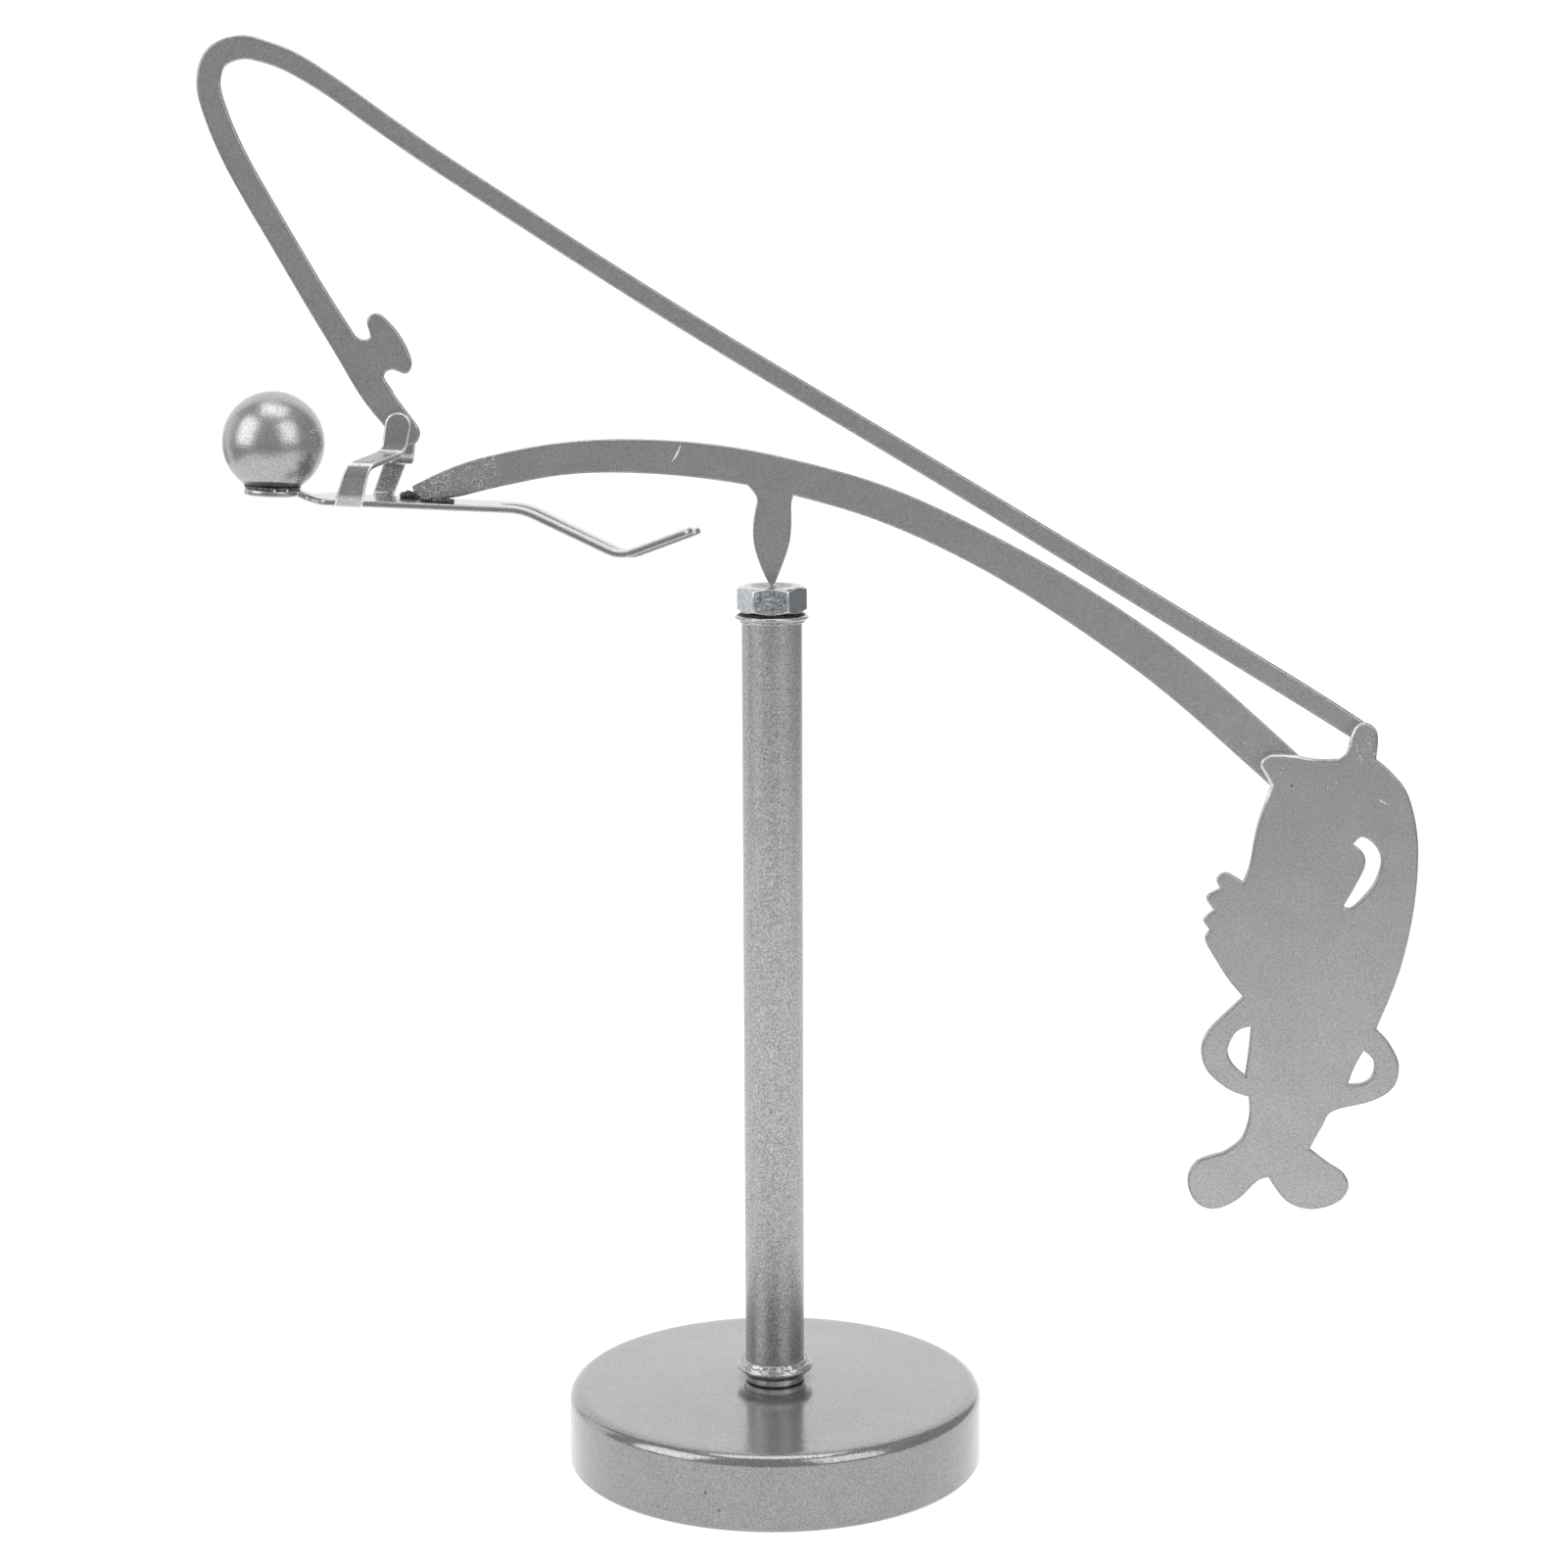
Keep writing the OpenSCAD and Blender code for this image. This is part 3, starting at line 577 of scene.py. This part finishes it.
def make_pole():
    """The painted tube, with painted shade on the end that shows in the gap under the nut."""
    low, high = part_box("pole_tube")
    wall = 1.0
    outer = high.x / MM
    inner = outer - wall
    foot = low.z / MM
    top = high.z / MM
    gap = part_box("upper_collar")[1].z / MM - 0.5
    bm = turned([(inner, foot), (outer, foot), (outer, gap), (outer, top), (inner, top)], 192)
    bevel_edges(bm, sharp_edges(bm, 40), 0.15, 2)
    # Faces above the gap take the painted shade.
    for face in bm.faces:
        if face.calc_center_median().z > gap * MM:
            face.material_index = 1
    piece = new_piece("pole_painted", bm, "stand", "silver_paint", POLE_PAINT, "pole_tube")
    piece.data.materials.append(GAP_SHADE)


def make_lower_collar():
    """The ragged flange round the foot of the pole, with two ridges on its upper face."""
    low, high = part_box("lower_collar")
    foot = low.z / MM
    wide = high.x / MM - 0.1
    inside = 4.6
    smooth_reach = 4.78
    ragged_from = foot + 1.4
    bm = turned([
        (inside, foot + 2.16), (4.78, foot + 2.24), (4.98, foot + 2.18), (5.12, foot + 1.95),
        (5.28, foot + 1.66), (5.45, foot + 1.6), (5.6, foot + 1.76), (5.78, foot + 1.8),
        (5.95, foot + 1.62), (6.08, foot + 1.32), (wide, foot + 1.16), (wide + 0.02, foot + 0.95),
        (wide - 0.12, foot + 0.72), (wide - 0.45, foot + 0.5), (5.4, foot + 0.2), (5.15, foot - 0.15),
        (4.95, foot - 0.3), (inside, foot - 0.25)
    ], 360)
    bmesh.ops.subdivide_edges(bm, edges=bm.edges, cuts=1, smooth=0.6, use_grid_fill=True)
    roughen(
        bm, 0.14, 1000, 3.0, lambda co: co.z > ragged_from * MM and co.xy.length > smooth_reach * MM
    )
    roughen(bm, 0.05, 420, 8.0, lambda co: co.xy.length > smooth_reach * MM)
    new_piece("lower_collar_bead", bm, "stand", "silver_paint", COLLAR_PAINT, "lower_collar")


def make_upper_collar():
    """The uneven bead under the nut, with a lip below it and painted shade in the groove above it."""
    low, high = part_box("upper_collar")
    foot = low.z / MM
    wide = high.x / MM - 0.06
    inside = 4.6
    smooth_reach = 4.8
    lip_top = foot + 0.4
    groove_foot = foot + 0.6
    groove_reach = 5.3
    bm = turned([
        (inside, foot + 0.86), (4.95, foot + 0.84), (5.15, foot + 0.96), (5.34, foot + 1.2),
        (5.48, foot + 1.26), (wide - 0.15, foot + 1.18), (wide, foot + 0.95),
        (wide - 0.03, foot + 0.78), (wide - 0.25, foot + 0.58), (5.2, foot + 0.46),
        (5.14, foot + 0.38), (5.16, foot + 0.24), (5.05, foot + 0.08), (4.85, foot + 0.02),
        (inside, foot + 0.02)
    ], 360)
    bmesh.ops.subdivide_edges(bm, edges=bm.edges, cuts=1, smooth=0.6, use_grid_fill=True)
    roughen(bm, 0.07, 900, 5.0, lambda co: co.xy.length > smooth_reach * MM)
    roughen(bm, 0.16, 700, 9.0, lambda co: co.z < lip_top * MM and co.xy.length > smooth_reach * MM)
    # Faces in the groove take the painted shade.
    for face in bm.faces:
        middle = face.calc_center_median()
        if middle.z > groove_foot * MM and middle.xy.length < groove_reach * MM:
            face.material_index = 1
    piece = new_piece("upper_collar_bead", bm, "stand", "silver_paint", COLLAR_PAINT, "upper_collar")
    piece.data.materials.append(GAP_SHADE)


def make_nut(node, piece_name):
    """A nut whose rounded edges take a painted highlight, with coarse grain on its front and rear
    flats.
    """
    grainy, bright = 1, 2
    corner_reach = 4.5
    rim_reach = 4.4
    least_height = 1.5
    least_area = (2 * MM) ** 2
    bm = node_copy(node)
    upright = [
        e for e in sharp_edges(bm, 30)
        if (e.verts[0].co - e.verts[1].co).xy.length < 0.01 * MM and e.calc_length() > least_height * MM
        and e.verts[0].co.xy.length > corner_reach * MM
    ]
    # The rounded edges take the painted highlight.
    for face in bevel_edges(bm, upright, 0.28, 4):
        face.material_index = bright
    rim = [e for e in sharp_edges(bm, 28) if min(v.co.xy.length for v in e.verts) > rim_reach * MM]
    for face in bevel_edges(bm, rim, 0.12, 3):
        face.material_index = bright
    bm.normal_update()
    for face in bm.faces:
        if abs(face.normal.y) > 0.98 and face.calc_area() > least_area:
            face.material_index = grainy
    piece = new_piece(piece_name, bm, "stand", "zinc", ZINC, node)
    piece.data.materials.append(GRAINY_ZINC)
    piece.data.materials.append(ZINC_EDGE_HIGHLIGHT)
    flatten_shading(piece)


# Pieces of the swing; points of a cut sheet that are nearer than this are one

SHEET_WELD = 0.08


def make_sheet(node, piece_name, material, width, rim):
    """A flat cut sheet with rounded edges."""
    bm = node_copy(node, SHEET_WELD)
    mark_rims(bm)
    piece = new_piece(piece_name, bm, "swing", "silver_paint", material, node)
    soften(piece, width, rim)


def draw_to_point(bm):
    """Brings the hollow end of the leaf down to a narrow end just above the pivot."""
    reach = 1.05 * MM
    narrow = 0.2
    clear = 0.07 * MM
    end = [v for v in bm.verts if (v.co - PIVOT).length < reach]
    for vert in end:
        vert.co.x *= narrow
        vert.co.y = math.copysign(SHEET_T / 2 * MM, vert.co.y)
        vert.co.z = PIVOT.z + clear
    bmesh.ops.remove_doubles(bm, verts=end, dist=0.06 * MM)
    bmesh.ops.dissolve_degenerate(bm, dist=0.01 * MM, edges=bm.edges)


def make_arm():
    """The arm with its blunt tip above the figure, and the weld spatter and scratch on it."""
    bm = node_copy("balance_arm", SHEET_WELD)
    cut_away(bm, on_figure(21.9, 0, 1.8), FIGURE_TURN @ Vector((-1, 0, 0)))
    cut_away(bm, on_figure(22.5, 0, 1.2), FIGURE_TURN @ Vector((-0.635, 0, -0.772)))
    draw_to_point(bm)
    mark_rims(bm)
    marks = bmesh.new()
    scatter(marks, bm, ((-56.0, 157.0), (-50.0, 162.5)), 420, (0.03, 0.075), 11)
    scatter(marks, bm, ((-51.0, 158.5), (-43.0, 164.0)), 320, (0.03, 0.07), 12)
    hairline(marks, ((-14.1, 165.6), (-14.5, 164.2), (-15.5, 163.0)), 0.26, -0.53)
    new_piece("arm_marks", marks, "swing", "silver_paint", BARE_PAINT)
    piece = new_piece("arm_sheet", bm, "swing", "silver_paint", SHEET_PAINT, "balance_arm")
    soften(piece, 0.34, RIM_SHADE)


def make_point():
    """The needle under the leaf, and the drop inside it that turns with the neck; they stay apart."""
    level = PIVOT.z / MM
    needle = turned([
        (0.0, level - 0.3), (0.05, level - 0.28), (0.12, level - 0.06), (0.09, level + 0.02),
        (0.0, level + 0.04)
    ], 32)
    new_piece("needle_point", needle, "pivot_tip", "bare_steel", SHEET_PAINT, "spike_tip")
    drop = turned([
        (0.0, level + 0.16), (0.1, level + 0.2), (0.16, level + 0.3), (0.12, level + 0.42),
        (0.0, level + 0.5)
    ], 32)
    new_piece("neck_drop", drop, "pivot_neck", "bare_steel", SHEET_PAINT, "spike_neck")


def eased(points, reach, steps):
    """A route of (x, y, z, half width) with each corner rounded over a length on both sides."""
    route = [points[0]]
    for before, corner, after in zip(points, points[1:], points[2:]):
        start = corner.lerp(before, reach / (before - corner).xyz.length)
        end = corner.lerp(after, reach / (after - corner).xyz.length)
        for k in range(steps + 1):
            t = k / steps
            route.append(start.lerp(corner, t).lerp(corner.lerp(end, t), t))
    route.append(points[-1])
    return route


def pairs_along(route, across):
    """Both edges of a strip along a route of (x, y, z, half width) in the figure's frame."""
    return [
        [FIGURE @ ((place.xyz + across * side * place.w) * MM) for side in (-1, 1)] for place in route
    ]


def thicken(piece, width, rim):
    """Gives a strip the thickness of the sheet, and rounds its edges."""
    wall = piece.modifiers.new("sheet_thickness", "SOLIDIFY")
    wall.thickness = SHEET_T * MM
    wall.offset = 0
    soften(piece, width, rim, marked=False)


def make_bent_arm(piece_name, points):
    """One of the figure's arms: a bent strip with a round hand."""
    bm = bmesh.new()
    route = eased([Vector(p) for p in points], 1.7, 8)
    pairs = pairs_along(route, ALONG)
    ends = ribbon(bm, start_edge(bm, pairs[0]), pairs[1:])
    round_end(bm, ends, FIGURE @ (route[-1].xyz * MM), FIGURE_TURN @ AXIS_UP)
    bmesh.ops.recalc_face_normals(bm, faces=bm.faces)
    thicken(new_piece(piece_name, bm, "swing", "silver_paint", PLATE_PAINT), 0.3, RIM_HIGHLIGHT)


def make_plate():
    """The flat figure without its arms: seat, neck, torso and two bent legs, in one sheet."""
    middle = -SHEET_T / 2
    seat_radius = 4.4
    neck = 1.6
    chest = 5.4
    leg = 1.6
    gap = 1.0
    neck_foot = 6.1
    shoulder = 8.2
    armpit = 11.8
    hip = 36
    knee_sink = 6.55
    foot_sink = 1.8
    rear_step = 1.1
    seat_edge = math.sqrt(seat_radius ** 2 - neck ** 2)
    route = eased([
        Vector((seat_edge, 0, middle + SEAT_LIFT, neck)), Vector((neck_foot, 0, middle, neck)),
        Vector((shoulder, 0, middle, chest)), Vector((armpit, 0, middle, chest)),
        Vector((hip, 0, middle, 2 * leg + gap))
    ], 0.9, 5)
    bm = bmesh.new()
    pairs = pairs_along(route, ACROSS)
    seat_ends = start_edge(bm, pairs[0])
    ribbon(bm, seat_ends, pairs[1:])
    round_end(
        bm, seat_ends, on_figure(0, 0, middle + SEAT_LIFT), FIGURE_TURN @ -ACROSS,
        math.tau - 2 * math.asin(neck / seat_radius), 60
    )
    for side in (-gap, gap):
        geom = bm.verts[:] + bm.edges[:] + bm.faces[:]
        bmesh.ops.bisect_plane(
            bm, geom=geom, dist=CUT_GAP, plane_co=on_figure(0, side, 0), plane_no=FIGURE_TURN @ ACROSS
        )
    hip_line = on_figure(hip, 0, middle)
    hips = [v for v in bm.verts if (v.co - hip_line).dot(FIGURE_TURN @ ALONG) > -MERGE_GAP]
    hips.sort(key=lambda v: v.co.y)
    for ends, y, step in ((hips[:2], -gap - leg, 0.0), (hips[2:], gap + leg, rear_step)):
        sink = middle - step / 2
        thigh = Vector((39.3 + step / 3, y, middle, leg))
        knee = Vector((54.8 + step, y, sink - knee_sink, leg))
        foot = Vector((66.0 + step, y, sink - foot_sink, leg))
        sole = foot.lerp(knee, 1.7 / (foot - knee).xyz.length)
        leg_route = eased([Vector((hip, y, middle, leg)), thigh, knee, sole], 2.1, 8)
        ends = ribbon(bm, ends, pairs_along(leg_route[1:], ACROSS))
        round_end(bm, ends, FIGURE @ (sole.xyz * MM), FIGURE_TURN @ (foot - knee).xyz)
    bmesh.ops.recalc_face_normals(bm, faces=bm.faces)
    piece = new_piece("figure_plate", bm, "swing", "silver_paint", PLATE_PAINT, "figure_body")
    thicken(piece, 0.26, PLATE_RIM_HIGHLIGHT)


def make_figure_arms():
    """Both arms, from the shoulders up to the hands on the rod: x, y, z and half width at each bend."""
    make_bent_arm("figure_near_arm", [
        (12.6, -4.9, -0.52, 2.2), (12.7, -7.0, -0.5, 2.2), (14.05, -7.5, 5.4, 1.9),
        (19.0, -1.95, 7.4, 1.9), (19.55, -1.95, 11.6, 2.05)
    ])
    make_bent_arm("figure_rear_arm", [
        (16.4, 4.6, -0.52, 1.65), (16.5, 7.2, -0.5, 1.65), (18.5, 7.2, 5.6, 1.8),
        (20.2, 0.06, 5.9, 1.8), (20.3, 0.06, 10.8, 1.85)
    ])


def make_arm_spatter():
    """Weld spatter on the inner face of the rear upper arm, which leans as it rises."""
    inner_face = 6.68
    shoulder = 16.5
    lean = 0.33
    half_width = 1.5
    spatter = bmesh.new()
    pick = random.Random(7)
    for _ in range(150):
        rise = pick.uniform(0.4, 5.0)
        aside = pick.uniform(-half_width, half_width)
        shape = Matrix.Translation(on_figure(shoulder + lean * rise + aside, inner_face, rise))
        size = pick.uniform(0.04, 0.1) * MM
        bmesh.ops.create_icosphere(spatter, subdivisions=1, radius=size, matrix=shape)
    new_piece("rear_arm_spatter", spatter, "swing", "silver_paint", BARE_PAINT)


def make_fish_marks():
    """Spot welds, drips, a pit's rim and a scratch on the fish's front."""
    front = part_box("fish")[0].y / MM
    bm = bmesh.new()
    for x, z, wide, high in (
        (80.25, 113.65, 0.3, 0.24), (80.54, 114.44, 0.24, 0.2), (82.0, 111.25, 0.3, 0.1),
        (92.7, 116.6, 0.3, 0.6), (92.95, 115.6, 0.35, 0.3), (92.2, 117.6, 0.25, 0.7),
        (94.05, 118.3, 0.4, 0.16), (94.4, 117.9, 0.2, 0.35), (93.9, 117.6, 0.35, 0.14),
        (93.2, 117.2, 0.2, 0.5), (94.9, 116.7, 0.3, 0.16)
    ):
        lump(bm, Vector((x, front, z)) * MM, Vector((wide, 0.16, high)) * MM, x, 0.25)
    pit_x, _, pit_z, _ = FISH_PITS[0]
    pit_rim = 0.32
    for k in range(10):
        angle = math.tau * k / 10
        place = Vector((pit_x + pit_rim * math.cos(angle), front, pit_z + pit_rim * math.sin(angle)))
        lump(bm, place * MM, Vector((0.14, 0.07, 0.14)) * MM, 40.0 + k, 0.2)
    new_piece("fish_marks", bm, "swing", "silver_paint", FISH_PAINT)
    scratch = bmesh.new()
    hairline(scratch, ((95.7, 109.35), (96.4, 109.0), (97.2, 108.5)), 0.16, front - 0.02)
    new_piece("fish_scratch", scratch, "swing", "silver_paint", BARE_PAINT)


def make_ball():
    """The head, with weld spatter on its right side."""
    low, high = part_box("head_ball")
    bm = bmesh.new()
    radius = (high.x - low.x) / 2
    centre = (low + high) / 2
    bmesh.ops.create_uvsphere(bm, u_segments=128, v_segments=64, radius=radius)
    bmesh.ops.translate(bm, vec=centre, verts=bm.verts)
    new_piece("head_painted", bm, "swing", "silver_paint", BALL_PAINT, "head_ball")
    spatter = bmesh.new()
    pick = random.Random(5)
    for _ in range(46):
        angle = math.radians(pick.uniform(-52, 20))
        share = pick.uniform(0.82, 0.97)
        aim = Vector((share * math.cos(angle), -math.sqrt(1 - share * share), share * math.sin(angle)))
        shape = Matrix.Translation(centre + aim * radius) @ Matrix.Diagonal((0.7, 0.7, 1.4, 1.0))
        size = pick.uniform(0.05, 0.12) * MM
        bmesh.ops.create_icosphere(spatter, subdivisions=1, radius=size, matrix=shape)
    new_piece("head_spatter", spatter, "swing", "silver_paint", BARE_PAINT)


def make_tip_weld():
    """Weld lumps round the arm's tip, two low ones standing for the shadow under it as painted shade:
    x, y, z, length and height in the figure's frame.
    """
    tip = bmesh.new()
    for x, y, z, long, high in (
        (20.3, 2.2, 0.4, 0.6, 0.55), (21.1, 2.3, 0.5, 0.7, 0.7), (21.9, 2.2, 0.45, 0.75, 0.65),
        # The lumps at x 23.6 and 24.8 are dark stand-ins for the shadow under the arm's tip: painted
        # shade.
        (22.7, 1.9, 0.35, 0.7, 0.5), (23.6, -0.4, 0.15, 0.9, 0.35), (24.8, -0.8, 0.15, 0.8, 0.35),
        (25.7, -1.75, 0.25, 0.6, 0.45), (26.5, -1.8, 0.3, 0.65, 0.55), (27.3, -1.75, 0.3, 0.7, 0.5),
        (28.1, -1.65, 0.2, 0.5, 0.35), (26.3, 0.1, 0.3, 1.6, 0.5)
    ):
        lump(tip, on_figure(x, y, z), Vector((long, 0.5, high)) * MM, x, 0.22)
    new_piece("tip_weld_lumps_and_shade", tip, "swing", "weld", WELD, "tip_weld")


def make_head_weld():
    """The dark weld ring between the seat and the ball, which also stands for the shade round the
    ball's foot as painted shade, with two bright beads on its front.
    """
    # Weld metal, and painted shade for the dark band round the ball's foot.
    ring = turned([
        (3.3, -0.05), (4.2, -0.05), (4.3, 0.1), (4.36, 0.28), (4.46, 0.5), (3.9, 0.5), (3.3, 0.3)
    ], 120)
    roughen(ring, 0.07, 700, 4.0)
    on_seat = FIGURE @ Matrix.Translation((0, 0, SEAT_LIFT * MM))
    bmesh.ops.transform(ring, matrix=on_seat, verts=ring.verts)
    new_piece("head_weld_and_shade_ring", ring, "swing", "weld", WELD, "head_weld")
    beads = bmesh.new()
    for x, y in ((0.95, -4.2), (2.75, -3.35)):
        lump(beads, on_figure(x, y, SEAT_LIFT + 0.1), Vector((0.2, 0.18, 0.2)) * MM, x, 0.2)
    new_piece("head_weld_beads", beads, "swing", "weld", BARE_PAINT)


def make_lap_welds():
    """The welds behind the fish, on the line's end and at the hands, uneven away from their joints."""
    for node in ("fish_weld", "line_weld", "hand_weld"):
        low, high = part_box(node)
        bm = node_copy(node)
        roughen(bm, 0.15, 1500, 2.0, lambda co: low.y + 0.1 * MM < co.y < high.y)
        new_piece(node + "_lumps", bm, "swing", "weld", WELD, node)


make_base()
make_pole()
make_lower_collar()
make_upper_collar()
make_nut("top_nut", "top_nut_plated")
make_nut("base_nut", "base_nut_plated")
make_arm()
make_point()
make_sheet("rod_line", "rod_line_sheet", SHEET_PAINT, 0.42, RIM_SHADE)
make_sheet("fish", "fish_sheet", FISH_PAINT, 0.4, FISH_RIM_SHADE_AND_HIGHLIGHT)
make_fish_marks()
make_plate()
make_figure_arms()
make_arm_spatter()
make_ball()
make_tip_weld()
make_head_weld()
make_lap_welds()
for plain_node, plain_material in (("base_washer", ZINC), ("stud", STUD_STEEL)):
    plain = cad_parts[plain_node]
    plain.data.materials.clear()
    plain.data.materials.append(plain_material)


# Studio

def make_world():
    """White to the camera; reflections see a white sweep behind, a strip at the left and a dim room."""
    sweep_lean = -0.09
    sweep_lift = 0.45
    dim_below = 0.26
    dim_above = 0.36
    ambient = 0.5
    world = bpy.data.worlds.new("studio")
    world.use_nodes = True
    tree = world.node_tree
    tree.nodes.clear()
    ray = tree.nodes.new("ShaderNodeLightPath")
    aim = add(tree, "ShaderNodeSeparateXYZ", {0: add(tree, "ShaderNodeTexCoord").outputs["Generated"]})
    lean = math_node(tree, "MULTIPLY", aim.outputs["X"], sweep_lean)
    lift = math_node(tree, "MULTIPLY", aim.outputs["Z"], sweep_lift)
    back = math_node(tree, "ADD", aim.outputs["Y"], math_node(tree, "ADD", lean, lift))
    front = ramp(tree, aim.outputs["Z"], -0.09, 0.04, dim_below, dim_above)
    sweep = ramp(tree, back, 0.74, 0.86, front, 1.0)
    left = ramp(tree, aim.outputs["X"], -0.8, -0.7, 1.0, 0.0)
    strip_light = math_node(tree, "MULTIPLY", left, ramp(tree, aim.outputs["Y"], 0.2, 0.28))
    room = math_node(tree, "MAXIMUM", sweep, strip_light)
    shiny = math_node(tree, "MAXIMUM", ray.outputs["Is Glossy Ray"], ray.outputs["Is Transmission Ray"])
    seen = add(tree, "ShaderNodeMix", {0: shiny, 2: ambient, 3: room}).outputs[0]
    strength = math_node(tree, "MAXIMUM", seen, ray.outputs["Is Camera Ray"])
    light = add(tree, "ShaderNodeBackground", {"Color": (1, 1, 1, 1), "Strength": strength})
    add(tree, "ShaderNodeOutputWorld", {"Surface": light.outputs[0]})
    SCENE.world = world


def make_lamp(name, azimuth, elevation, distance, width, height, radiance):
    """A softbox that faces the toy; azimuth from the camera's side, to the right."""
    toy_middle = Vector((0, 0, 0.13))
    data = bpy.data.lights.new(name, "AREA")
    data.shape = "RECTANGLE"
    data.size = width
    data.size_y = height
    data.energy = radiance * math.pi * width * height
    lamp = bpy.data.objects.new(name, data)
    SCENE.collection.objects.link(lamp)
    turn = math.radians(azimuth)
    lift = math.radians(elevation)
    aim = Vector((math.sin(turn) * math.cos(lift), -math.cos(turn) * math.cos(lift), math.sin(lift)))
    lamp.location = toy_middle + aim * distance
    lamp.rotation_euler = aim.to_track_quat("Z", "Y").to_euler()
    lamp.visible_camera = False


def make_floor():
    """A white table top that shows only from above and keeps a faint shadow."""
    front = -0.38
    half_width = 0.42
    half_depth = 1.5
    below = 0.05 * MM
    bm = bmesh.new()
    bmesh.ops.create_grid(bm, x_segments=1, y_segments=1, size=half_depth)
    bmesh.ops.scale(bm, vec=(half_width / half_depth, 1.0, 1.0), verts=bm.verts)
    bmesh.ops.translate(bm, vec=(0, front + half_depth, -below), verts=bm.verts)
    mesh = bpy.data.meshes.new("table_top")
    bm.to_mesh(mesh)
    bm.free()
    material = bpy.data.materials.new("white_table")
    material.use_nodes = True
    tree = material.node_tree
    tree.nodes.clear()
    camera_ray = tree.nodes.new("ShaderNodeLightPath").outputs["Is Camera Ray"]
    level = ramp(tree, camera_ray, 0.0, 1.0, 0.7, 0.86)
    glow = add(tree, "ShaderNodeEmission", {"Color": (1, 1, 1, 1), "Strength": level})
    matt = add(tree, "ShaderNodeBsdfDiffuse", {"Color": (0.35, 0.35, 0.35, 1)})
    lit = add(tree, "ShaderNodeAddShader", {0: glow.outputs[0], 1: matt.outputs[0]})
    clear = add(tree, "ShaderNodeBsdfTransparent")
    under = add(tree, "ShaderNodeNewGeometry").outputs["Backfacing"]
    both = add(tree, "ShaderNodeMixShader", {0: under, 1: lit.outputs[0], 2: clear.outputs[0]})
    add(tree, "ShaderNodeOutputMaterial", {"Surface": both.outputs[0]})
    mesh.materials.append(material)
    floor = bpy.data.objects.new("table_top", mesh)
    SCENE.collection.objects.link(floor)


def make_camera():
    """The photograph's camera, fitted to the edges of the pole and the base."""
    photo_width = 1601
    focal_px = 3581.17
    eye = (0.00181, -0.54646, 0.21258)
    look_down = 10.444
    roll = -0.205
    data = bpy.data.cameras.new("photo_camera")
    data.sensor_width = 36
    data.lens = focal_px * data.sensor_width / photo_width
    camera = bpy.data.objects.new("photo_camera", data)
    SCENE.collection.objects.link(camera)
    camera.location = eye
    camera.rotation_euler = (math.radians(90 - look_down), 0, 0)
    camera.rotation_euler.rotate_axis("Z", math.radians(roll))
    SCENE.camera = camera


SCENE.view_settings.view_transform = "Standard"
make_world()
make_lamp("left_softbox", -63, 25, 0.9, 0.62, 0.8, 1.85)
make_lamp("right_softbox", 43, 28, 0.9, 0.6, 0.8, 1.45)
make_lamp("top_softbox", 0, 86, 0.9, 0.7, 0.55, 1.8)
make_floor()
make_camera()
